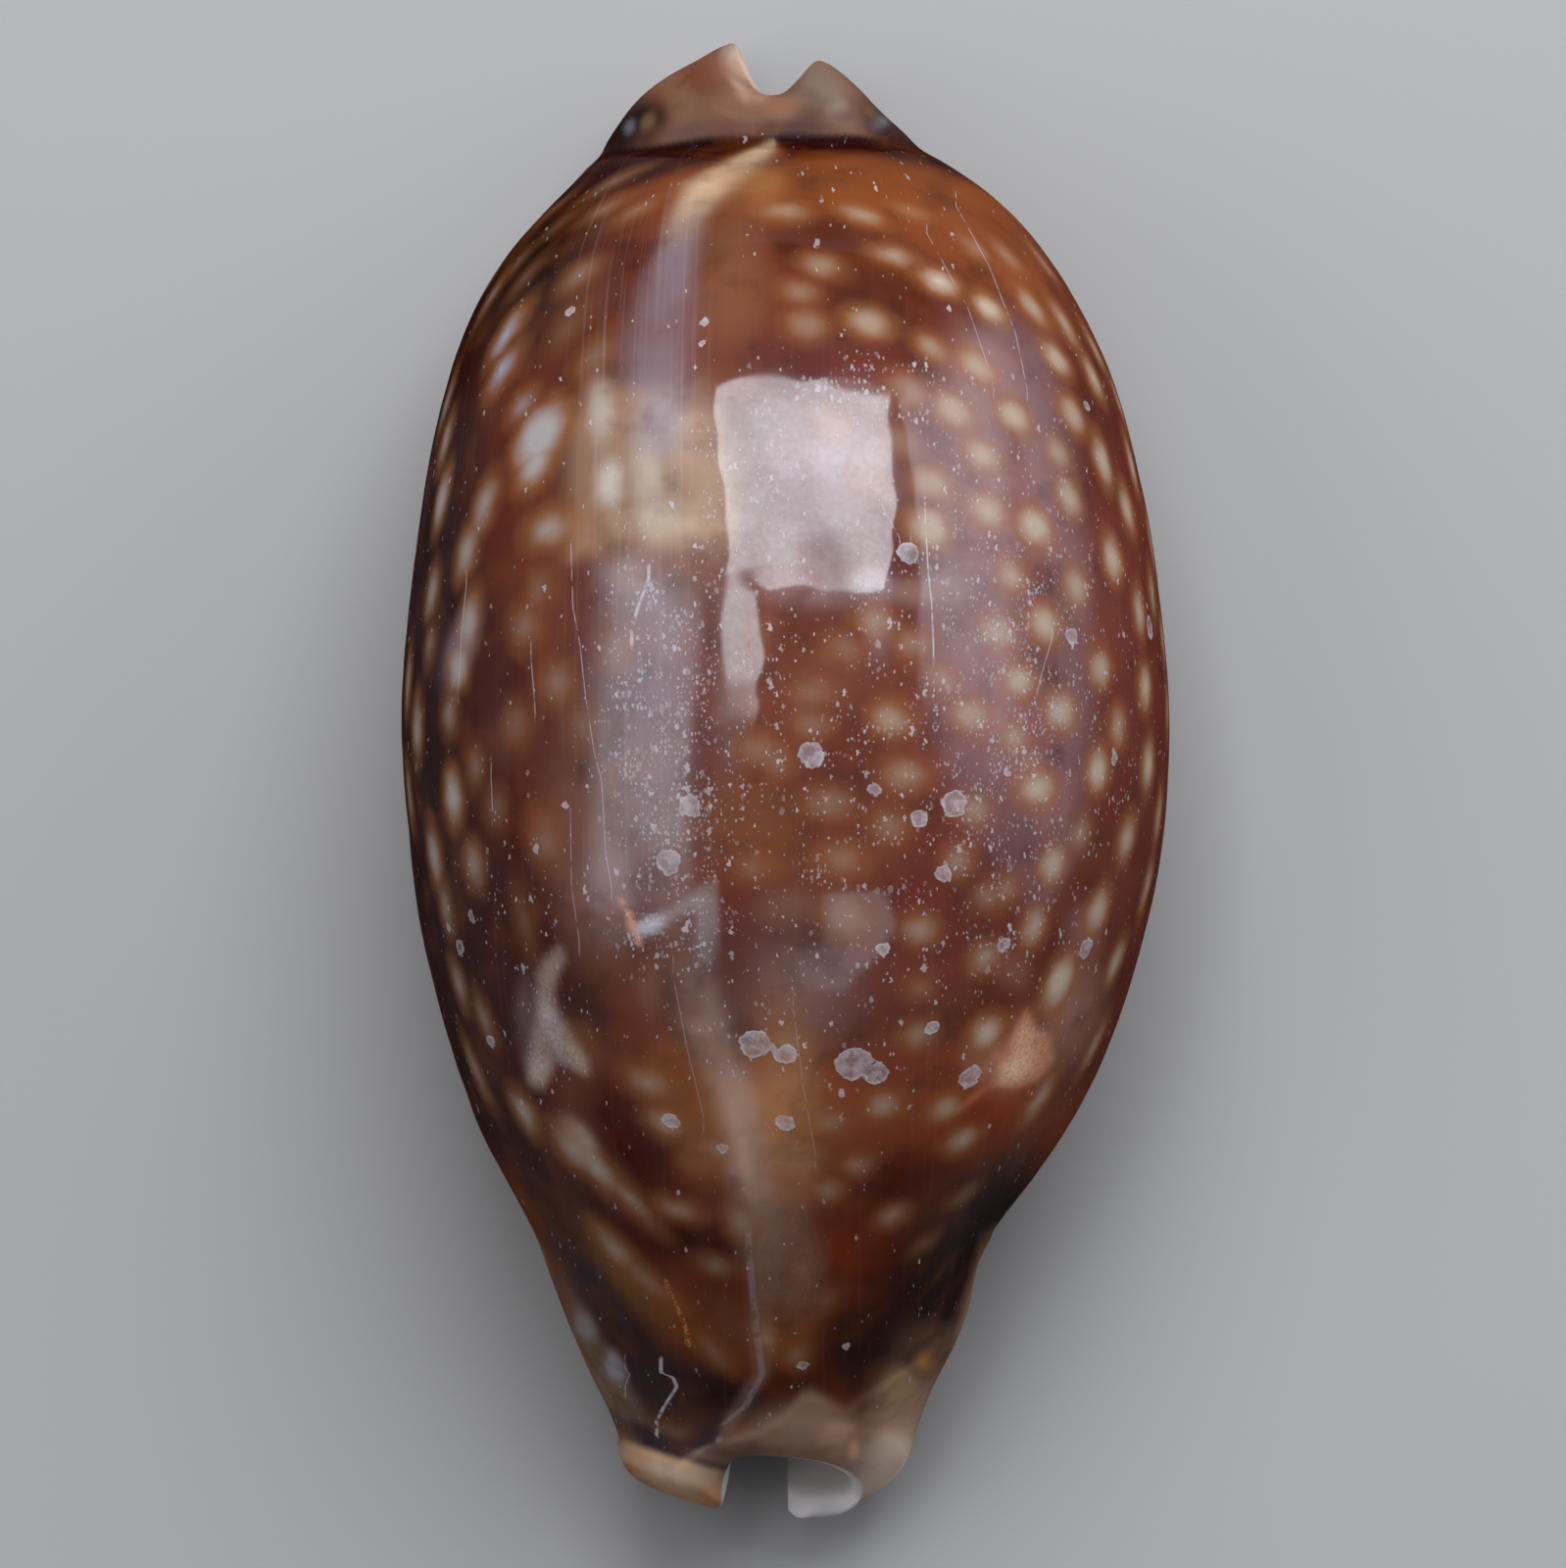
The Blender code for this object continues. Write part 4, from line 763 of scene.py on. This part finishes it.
# Fine growth lines beside the pale line, hairline scratches and a thread of rust. Each hairline has its half
# width, how clear it is, and the points that it runs through towards the anterior end.
streaked = on_top * (
    0.06
    + 0.80 * np.exp(-(((plan_x + 7.6) / 3.0) ** 4)) * ease(plan_y, 8, 15) * (1 - ease(plan_y, 29, 33))
    + 0.4 * np.exp(-(((plan_x + 8.6) / 3.0) ** 4)) * (1 - ease(plan_y, 8, 15)) * ease(plan_y, -10, 0)
)
HAIRLINES = (
    (0.035, 0.55, ((-11.5, 12.5), (-11.4, 9.3), (-11, 7.3), (-10.7, 4.8), (-10.2, 1.6),
     (-9.8, 0), (-9.6, -3.9), (-9.3, -5.7))),
    (0.03, 0.45, ((-11.5, -1.8), (-11.4, -5.7), (-11, -8.5))),
    (0.1, 0.9, ((-7.3, 10.7), (-7.9, 9.2), (-8.2, 8))),
    (0.035, 0.5, ((-13.6, 6.5), (-13.4, 4))),
    (0.03, 0.5, ((-17.1, 10.5), (-17.4, 8), (-17.6, 5))),
    (0.03, 0.5, ((-15.8, 0.3), (-15.7, -1.6))),
    (0.05, 0.8, ((7.45, 13.9), (7.6, 11.1), (7.8, 9.3), (7.9, 7))),
    (0.03, 0.6, ((4.6, 15.6), (5.4, 14.2), (6.1, 12.9))),
    (0.035, 0.5, ((14.3, 7.6), (13.9, 6.4), (13.4, 4.6))),
    (0.03, 0.5, ((9.2, 31), (11, 27.6), (12.4, 24), (13, 21))),
    (0.03, 0.4, ((7.6, 29.4), (9.8, 25.4), (11.2, 21.4))),
    (0.11, 0.9, ((-6.75, -32), (-6.1, -32.2), (-5.88, -32.75), (-6.56, -33.8), (-7, -34.65))),
    (0.19, 0.22, ((-2, -25), (-1.54, -29.9), (-1.24, -32), (-2.15, -33.8), (-3.6, -35))),
    (0.04, 0.6, ((-8.7, -31.8), (-8.45, -32.1), (-8.7, -32.7))),
    (0.03, 0.35, ((-6, -10.4), (-5.2, -14.6), (-4.4, -18))),
    (0.03, 0.35, ((0.4, -12), (0.9, -16), (1.6, -20))),
)
RUST = ((-6.45, -26.9), (-6.3, -27.4), (-5.95, -28.1), (-5.55, -29), (-5.3, -29.8), (-5.2, -30.5))
NO_HAIR = 9.0
hair, hair_clear = np.full(plan_x.shape, NO_HAIR), np.zeros(plan_x.shape)
hair_gap = np.full(plan_x.shape, 99.0)


def beside(run):
    """How far each point lies to the right of a run of points, and how far it lies beyond the run's ends."""
    run_x, run_y = np.array(run).T
    beyond = np.maximum(np.maximum(plan_y - run_y.max(), run_y.min() - plan_y), 0)
    return plan_x - np.interp(-plan_y, -run_y, run_x), beyond


for half_width, clear, run in HAIRLINES:
    aside, beyond = beside(run)
    nearer = (np.abs(aside) + beyond < hair_gap) & (on_top > 0.5)
    hair_gap[nearer] = (np.abs(aside) + beyond)[nearer]
    hair[nearer] = (aside / half_width)[nearer]
    hair_clear[(hair_gap < 0.9) & nearer] = clear
aside, beyond = beside(RUST)
rust = np.abs(aside) + beyond + NO_HAIR * (1 - on_top)

# Round scales of dried deposit, each with its place and its radius, and the dust of fine specks on the back.
# The dust lies in drifts, each (x, y, half width, half length, amount). Both are what the sea left on it.
FLAKES = (
    (6.55, 12.2, 0.62), (1.5, 1.3, 0.7), (8.9, -1.4, 0.75), (7.2, -1.9, 0.5), (-5.2, -1.4, 0.65),
    (-6.2, -4.4, 0.7), (8.6, -5.1, 0.5), (-1.7, -14, 0.85), (0.2, -14.5, 0.6), (3.6, -15.2, 1),
    (5, -15.6, 0.65), (10, -15.9, 0.7), (-0.1, -18.4, 0.55), (-3.5, -19.6, 0.35), (-6.2, -18.3, 0.5),
    (-17.6, -8.9, 0.5), (-18.3, -8, 0.3), (-16.9, -7.4, 0.35), (-15.9, -14.1, 0.42), (15.3, 7.9, 0.5),
    (17.7, 1, 0.38), (19.6, 8.3, 0.6), (16.1, -9.1, 0.6), (7.8, -13.3, 0.45), (-11.6, 25.3, 0.38),
    (4.6, -0.4, 0.42), (-11.6, -1.3, 0.3), (11.6, -8.6, 0.42), (5.3, -9, 0.4), (16.2, 20.1, 0.35),
    (3.4, -30.5, 0.25), (0.9, -31.6, 0.3), (-4.5, 24.5, 0.3), (-4.3, 23.4, 0.2),
)
DRIFTS = (
    (-6.4, 3, 2.8, 9, 1.5), (-6, -1.5, 2.2, 4, 1.9), (2, -1, 9, 12, 0.38), (11.5, 4, 5, 12, 0.8),
    (12, 1.5, 3, 5, 1.2), (5, 20.6, 4, 1.6, 0.9), (-3.4, 16.5, 1, 2.6, 1.3), (-5.5, -8, 3.2, 1.6, 1.3),
    (10, -8, 6, 4, 0.4), (-12.5, -13, 3, 5, 0.15), (4.6, 10.6, 1.6, 1.6, 1.2), (0, -13, 10, 4, 0.18),
    (-14.6, -6, 3, 4, 0.2), (-2.4, 5, 1.6, 2.6, 0.8), (-2, 15, 2.4, 5, 0.6),
)
NO_FLAKE = 2.0
flake = np.full(plan_x.shape, NO_FLAKE)
for x, y_at, radius in FLAKES:
    flake = np.minimum(flake, np.sqrt(((outer - outer[nearest(x, y_at)]) ** 2).sum(axis=2)) - radius)
dust = np.zeros(plan_x.shape)
for x, y_at, half_width, half_length, amount in DRIFTS:
    reach = ((plan_x - x) / half_width) ** 2 + ((plan_y - y_at) / half_length) ** 2
    dust = np.maximum(dust, amount * np.exp(-reach))
dust = np.maximum(dust, 0.03) * on_top * (1 - collar) * (1 - callus)

# The sheet is a flat grid, given its two faces, and then rolled up so that each point takes its place. It is
# one piece, as it grew, and rests on the ground with both lips. Its inner face is plain, so it is thinned.
INNER_SHARE, EDGE_RINGS, EDGE_COLUMNS = 0.6, 6, 3
bpy.ops.object.select_all(action="DESELECT")
bpy.ops.mesh.primitive_grid_add(x_subdivisions=len(around) - 1, y_subdivisions=RINGS, size=1)
shell = bpy.context.object
shell.name = "cowrie_shell"
wall = shell.modifiers.new("wall", "SOLIDIFY")
wall.thickness, wall.offset = 1, 0
bpy.ops.object.modifier_apply(modifier=wall.name)
mesh = shell.data
flat = np.empty(len(mesh.vertices) * 3)
mesh.vertices.foreach_get("co", flat)
flat = flat.reshape(-1, 3)
column = np.rint((flat[:, 0] + 0.5) * (len(around) - 1)).astype(int)
ring = np.rint((flat[:, 1] + 0.5) * RINGS).astype(int)
is_outer = flat[:, 2] > 0
place = np.where(is_outer[:, None], outer[ring, column], inner[ring, column])
low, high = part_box("shell")
shift = (Vector(low) + Vector(high)) / 2 / MM
middle = (place.min(axis=0) + place.max(axis=0)) / 2
place[:, :2] += np.array(shift)[:2] - middle[:2]
mesh.vertices.foreach_set("co", (place * MM).ravel())
mesh.update()

for name, grid, inside in (
    ("spot", spot, NO_SPOT), ("spot_clear", spot_clear, 0), ("spot_soft", spot_soft, 0),
    ("flake", flake, NO_FLAKE), ("dust", dust, 0), ("lines", on_top, 0), ("polish", polish, 0.2),
    ("satin", satin, 0.5), ("streaked", streaked, 0), ("rust", rust, NO_HAIR), ("scuffed", scuffed, 0),
    ("hair", hair, NO_HAIR), ("hair_clear", hair_clear, 0),
):
    values = np.where(is_outer, np.broadcast_to(grid, plan_x.shape)[ring, column], inside)
    mesh.attributes.new(name, "FLOAT", "POINT").data.foreach_set("value", values)
# The inner face is grey-lilac, and paler towards the rims: partly its own white-grey enamel, partly painted
# light on walls that get little light.
rim_tint_and_painted_light = between(chip(206, 200, 198), chip(188, 160, 138), ease(plan_y, -5, 5))
inside_tint_and_painted_light = between(chip(160, 150, 146), rim_tint_and_painted_light, 1 - ease(inset, 0.5, 1))
for name, grid, inside in (("tint", tint, inside_tint_and_painted_light[ring, column]), ("spot_tint", spot_tint, 0)):
    shade = np.ones((len(place), 4))
    shade[:, :3] = np.where(is_outer[:, None], grid[ring, column], inside)
    mesh.attributes.new(name, "FLOAT_COLOR", "POINT").data.foreach_set("color", shade.ravel())

WRAP_UNIT = 100
reach_round = np.cumsum(np.linalg.norm(np.diff(outer, axis=1, prepend=outer[:, :1]), axis=2), axis=1)
wrap_u = (reach_round - reach_round[:, [int(np.argmin(np.abs(around - TOP)))]]) / WRAP_UNIT
wrap_v = plan_y / WRAP_UNIT
corners = np.empty(len(mesh.loops), int)
mesh.loops.foreach_get("vertex_index", corners)
unwrapped = np.stack([wrap_u[ring, column], wrap_v[ring, column]], axis=1)[corners]
wrap = mesh.uv_layers.active or mesh.uv_layers.new(name="wrap")
wrap.name = "wrap"
wrap.data.foreach_set("uv", unwrapped.ravel().astype(np.float32))

deep = ~is_outer & (ring > EDGE_RINGS) & (ring < RINGS - EDGE_RINGS)
deep &= (column > EDGE_COLUMNS) & (column < len(around) - 1 - EDGE_COLUMNS)
inner_group = shell.vertex_groups.new(name="inner")
inner_group.add(np.nonzero(deep)[0].tolist(), 1.0, "REPLACE")
thin = shell.modifiers.new("thin", "DECIMATE")
thin.vertex_group = "inner"
thin.ratio = INNER_SHARE
bpy.ops.object.modifier_apply(modifier=thin.name)
shell.vertex_groups.clear()
bpy.ops.object.shade_smooth()

# The shell's material: enamel over spots and clouds of pigment, a few of them painted light and shade, with
# growth lines, scratches, scale and dust on it. The gloss is a clear coat, and the deposits stand up from it
# by a few hundredths of a millimetre.
DEPOSIT_HEIGHT = 0.00004
material = bpy.data.materials.new("glazed_shell")
material.use_nodes = True
tree = material.node_tree
surface = tree.nodes["Principled BSDF"]


def node(kind, links=(), **settings):
    """A shader node with its settings, and its inputs set to a value or linked to another node's output."""
    made = tree.nodes.new("ShaderNode" + kind)
    for key, value in settings.items():
        setattr(made, key, value)
    for socket, value in dict(links).items():
        if isinstance(value, bpy.types.NodeSocket):
            tree.links.new(value, made.inputs[socket])
        else:
            made.inputs[socket].default_value = value
    return made


def value_of(name):
    """A number that the mesh holds at each of its points."""
    return node("Attribute", attribute_name=name).outputs["Fac"]


def colour_of(name):
    """A colour that the mesh holds at each of its points."""
    return node("Attribute", attribute_name=name).outputs["Color"]


def maths(operation, a, b):
    """The result of one operation on two numbers."""
    return node("Math", {0: a, 1: b}, operation=operation).outputs[0]


def times(a, b):
    return maths("MULTIPLY", a, b)


def plus(a, b):
    return maths("ADD", a, b)


def minus(a, b):
    return maths("SUBTRACT", a, b)


def larger(a, b):
    return maths("MAXIMUM", a, b)


def fade(value, start, end, low=0.0, high=1.0):
    """A smooth step of value from start to end, going from low to high."""
    links = {0: value, 1: start, 2: end, 3: low, 4: high}
    return node("MapRange", links, interpolation_type="SMOOTHSTEP").outputs[0]


def scaled(vector, **settings):
    """A vector stretched and turned by a Mapping node's settings."""
    return node("Mapping", {"Vector": vector, **settings}).outputs[0]


def blend(share, a, b):
    """The colour at this share of the way from a to b, which is a colour chip or a node's output."""
    if not isinstance(b, bpy.types.NodeSocket):
        b = (*chip(*b), 1)
    return node("Mix", {0: share, 6: a, 7: b}, data_type="RGBA").outputs[2]


place_mm = scaled(node("TexCoord").outputs["Object"], Scale=(1 / MM, 1 / MM, 1 / MM))
wrap_mm = scaled(node("UVMap", uv_map="wrap").outputs[0], Scale=(WRAP_UNIT, WRAP_UNIT, 1))


def noise(scale, detail=2.0, roughness=0.5, at=place_mm):
    """Soft noise from 0 to 1, with so many clouds in a millimetre."""
    links = {"Vector": at, "Scale": scale, "Detail": detail, "Roughness": roughness}
    return node("TexNoise", links).outputs[0]


# The ground of the enamel: the laid-down colours, with a soft clouding where the glaze is warmer or deeper.
# It grew in thin coats, so its depth wanders from place to place.
mottle = fade(noise(0.17), 0.32, 0.68, 0.84, 1.14)
ground = node("VectorMath", {0: colour_of("tint"), "Scale": mottle}, operation="SCALE").outputs[0]
warm = fade(noise(0.31, 3.0), 0.46, 0.72, 0.0, 0.30)
deep = fade(noise(0.43, 3.0), 0.50, 0.74, 0.0, 0.34)
ground = blend(times(warm, value_of("lines")), ground, HONEY)
ground = blend(times(deep, value_of("lines")), ground, UMBER)

# The spots are pale hearts in amber rings, bedded in the enamel, and both fade softly into the ground. The
# thicker the glaze over a spot, the softer it is.
spot_edge = plus(value_of("spot"), times(minus(noise(0.9), 0.5), 0.5))
edge = maths("DIVIDE", spot_edge, value_of("spot_soft"))
clear = value_of("spot_clear")
ring_share = times(fade(edge, 0.8, -0.15), times(maths("POWER", clear, 0.7), 0.66))
heart_share = times(fade(edge, 0.22, -0.72), maths("POWER", clear, 1.5))
coloured = blend(ring_share, ground, (146, 92, 50))
coloured = blend(heart_share, coloured, colour_of("spot_tint"))

# Growth lines and hairline scratches run along the shell. The lines grew with it, and the scratches were cut
# into the glaze later, so they break off here and there.
streaks_at = scaled(wrap_mm, Scale=(2.6, 0.035, 1))
line_share = times(fade(noise(1.0, 5.0, 0.7, streaks_at), 0.50, 0.72), value_of("streaked"))
coloured = blend(times(line_share, 0.34), coloured, (186, 170, 168))
hair_share = times(fade(maths("ABSOLUTE", value_of("hair"), 0.0), 1.4, 0.5), value_of("hair_clear"))
hair_share = times(hair_share, fade(noise(1.3, 3.0), 0.34, 0.52))

# Dried deposit lies on the glaze: round scratched scales with a raised rim, fine specks in drifts, a thread
# of rust, and crumbs in the scuffed places.
dust = value_of("dust")


def flat_noise(scale):
    """Noise over the unwrapped sheet, as its outputs: a value, and a vector."""
    links = {"Vector": wrap_mm, "Scale": scale, "Detail": 3.0}
    return node("TexNoise", links, noise_dimensions="2D").outputs


def grains(scale, share, least, most):
    """Specks: a share of the cells of a grid of the scale holds a grain between the least and most radius."""
    ragged = node("VectorMath", {0: flat_noise(scale * 2.2)[1], "Scale": 0.7 / scale}, operation="SCALE")
    cells_at = node("VectorMath", {0: wrap_mm, 1: ragged.outputs[0]}, operation="ADD")
    cells_at = scaled(cells_at.outputs[0], Scale=(1.1, 0.66, 1))
    cells = node("TexVoronoi", {"Vector": cells_at, "Scale": scale}, voronoi_dimensions="2D")
    chance = node("SeparateColor", {0: cells.outputs["Color"]})
    there = maths("LESS_THAN", chance.outputs[0], times(clumps, share))
    radius = fade(chance.outputs[1], 0.0, 1.0, least, most)
    gap = minus(cells.outputs["Distance"], radius)
    strength = times(there, fade(chance.outputs[2], 0.0, 1.0, 0.25, 1.0))
    return times(fade(gap, 0.07, -0.04), strength)


def strokes(turn):
    """Short scratches that all lie at one slant."""
    aslant = scaled(scaled(place_mm, Rotation=(0, 0, turn)), Scale=(11, 1.3, 3))
    return fade(noise(1.0, 3.0, 0.6, aslant), 0.5, 0.62)


clumps = times(dust, fade(flat_noise(0.55)[0], 0.38, 0.64, 0.2, 1.6))
specks = larger(grains(4.6, 0.9, 0.06, 0.30), grains(2.5, 0.6, 0.05, 0.28))
specks = larger(specks, grains(1.4, 0.28, 0.08, 0.23))
scratches = larger(strokes(0.5), strokes(-0.9))
flake_edge = plus(value_of("flake"), times(minus(noise(1.9, 3.0), 0.5), 0.6))
flakes = fade(flake_edge, 0.04, -0.04)
flake_body = times(fade(scratches, 0.0, 1.0, 0.42, 0.6), flakes)
flake_body = times(flake_body, fade(noise(1.6), 0.35, 0.65, 0.6, 1.3))
flake_rim = times(fade(flake_edge, -0.22, -0.05), flakes)
deposit = larger(plus(flake_body, times(flake_rim, 0.25)), times(specks, 0.8))
deposit = larger(deposit, hair_share)
rust_share = times(fade(value_of("rust"), 0.22, 0.0), fade(noise(5.5, 3.0, 0.7), 0.46, 0.58))
coloured = blend(rust_share, coloured, (206, 132, 72))
scuffed = value_of("scuffed")
crumbs = times(fade(noise(4.5, 4.0, 0.8), 0.46, 0.60), scuffed)
coloured = blend(times(crumbs, 0.5), coloured, (138, 84, 62))
deposit = larger(deposit, times(times(scratches, scuffed), 0.2))
coloured = blend(times(dust, 0.04), coloured, (170, 160, 165))
coloured = blend(times(deposit, 0.72), coloured, (204, 198, 204))
tree.links.new(coloured, surface.inputs["Base Color"])

# The polish of the enamel: a clear coat over the colour, dulled where it is dusty or scuffed. The shell is
# the only piece, so it rides on the one body and stands for the one solid.
scuff = fade(noise(1.1, 5.0, 0.7, streaks_at), 0.4, 0.7, 0.0, 0.05)
rough = plus(fade(deposit, 0.0, 1.0, 0.11, 0.5), times(dust, 0.06))
rough = plus(rough, plus(scuff, times(value_of("satin"), 0.22)))
tree.links.new(rough, surface.inputs["Roughness"])
height = plus(deposit, times(line_share, 0.08))
raised = node("Bump", {"Height": height, "Distance": DEPOSIT_HEIGHT}).outputs[0]
tree.links.new(raised, surface.inputs["Normal"])
film = times(fade(noise(0.3, 3.0), 0.36, 0.64, 0.74, 1.0), fade(noise(3.4, 3.0, 0.7), 0.3, 0.7, 0.78, 1.0))
gloss = times(value_of("polish"), times(fade(deposit, 0.0, 1.0, 1.0, 0.3), film))
tree.links.new(gloss, surface.inputs["Coat Weight"])
surface.inputs["Specular IOR Level"].default_value = 0
surface.inputs["Coat IOR"].default_value = 1.73
surface.inputs["Coat Roughness"].default_value = 0.06
mesh.materials.append(material)
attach(shell, "root")
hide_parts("shell")

# The stage is a sheet of pale card under soft light. A bright panel and its wing hang over the shell's
# posterior end, a weaker one stands on either side, and the room is dim. Sizes here are in metres.
FLOOR_SIZE, FLOOR_DROP, AIM = 3, 0.0002, Vector((0, 0.008, 0.03))
bpy.ops.object.select_all(action="DESELECT")
bpy.ops.mesh.primitive_plane_add(size=FLOOR_SIZE, location=(0, 0, -FLOOR_DROP))
floor = bpy.context.object
floor.name = "floor"
card = bpy.data.materials.new("pale_card")
card.use_nodes = True
card_surface = card.node_tree.nodes["Principled BSDF"]
card_surface.inputs["Base Color"].default_value = (0.40, 0.395, 0.39, 1)
card_surface.inputs["Roughness"].default_value = 0.9
floor.data.materials.append(card)

world = bpy.data.worlds.new("soft_room")
bpy.context.scene.world = world
world.use_nodes = True
room = world.node_tree.nodes["Background"]
room.inputs["Color"].default_value = (0.9, 0.93, 1, 1)
room.inputs["Strength"].default_value = 0.15


def softbox(name, direction, distance, width, height, radiance, colour, roll, soft=(0, 0, 0, 0)):
    """A lamp panel that faces the shell, as bright as radiance, rolled in its own plane by so many degrees.
    Its light fades out over these shares of the panel at its -X, +X, -Y and +Y edges."""
    place = AIM + distance * Vector(direction)
    bpy.ops.object.light_add(type="AREA", location=place)
    lamp = bpy.context.object
    lamp.name = name
    turned = (AIM - place).to_track_quat("-Z", "Y") @ Quaternion((0, 0, 1), np.radians(roll))
    lamp.rotation_euler = turned.to_euler()
    lamp.data.shape = "RECTANGLE"
    lamp.data.size, lamp.data.size_y = width, height
    lamp.data.energy = radiance * width * height * np.pi
    lamp.data.color = colour
    if not any(soft):
        return
    lamp.data.use_nodes = True
    light = lamp.data.node_tree
    across = light.nodes.new("ShaderNodeSeparateXYZ")
    light.links.new(light.nodes.new("ShaderNodeNewGeometry").outputs["Parametric"], across.inputs[0])
    share = light.nodes["Emission"].inputs["Strength"]
    for edge, length in enumerate(soft):
        ramp = light.nodes.new("ShaderNodeMapRange")
        ramp.interpolation_type = "SMOOTHSTEP"
        ramp.inputs[1].default_value = edge % 2
        ramp.inputs[2].default_value = abs(edge % 2 - max(length, 0.001))
        light.links.new(across.outputs[edge // 2], ramp.inputs[0])
        if edge < 3:
            both = light.nodes.new("ShaderNodeMath")
            both.operation = "MULTIPLY"
            light.links.new(both.outputs[0], share)
            light.links.new(ramp.outputs[0], both.inputs[0])
            share = both.inputs[1]
        else:
            light.links.new(ramp.outputs[0], share)


softbox("key", (0.113, 0.665, 0.738), 0.5, 0.39, 0.38, 6.3, (0.92, 0.95, 1), 8)
wing_fade = (0.05, 0.2, 0.12, 0.4)
softbox("key_wing", (-0.211, 0.16, 0.964), 0.5, 0.084, 0.226, 6.3, (0.92, 0.96, 1), -66, wing_fade)
softbox("left", (-0.718, -0.062, 0.694), 0.5, 0.49, 0.44, 1.6, (0.93, 0.93, 1), -12, (0.16, 0.4, 0.42, 0.16))
softbox("right", (0.835, 0.385, 0.395), 0.52, 0.72, 0.394, 1.96, (0.85, 0.9, 1), -30, (0.4, 0.25, 0.35, 0.05))

bpy.ops.object.camera_add(location=(-0.00013, -0.00016, 1.211), rotation=(0, 0, 0))
camera = bpy.context.object
camera.name = "camera"
camera.data.lens = 509.6
camera.data.sensor_width = 36
bpy.context.scene.camera = camera
bpy.context.scene.view_settings.view_transform = "Standard"
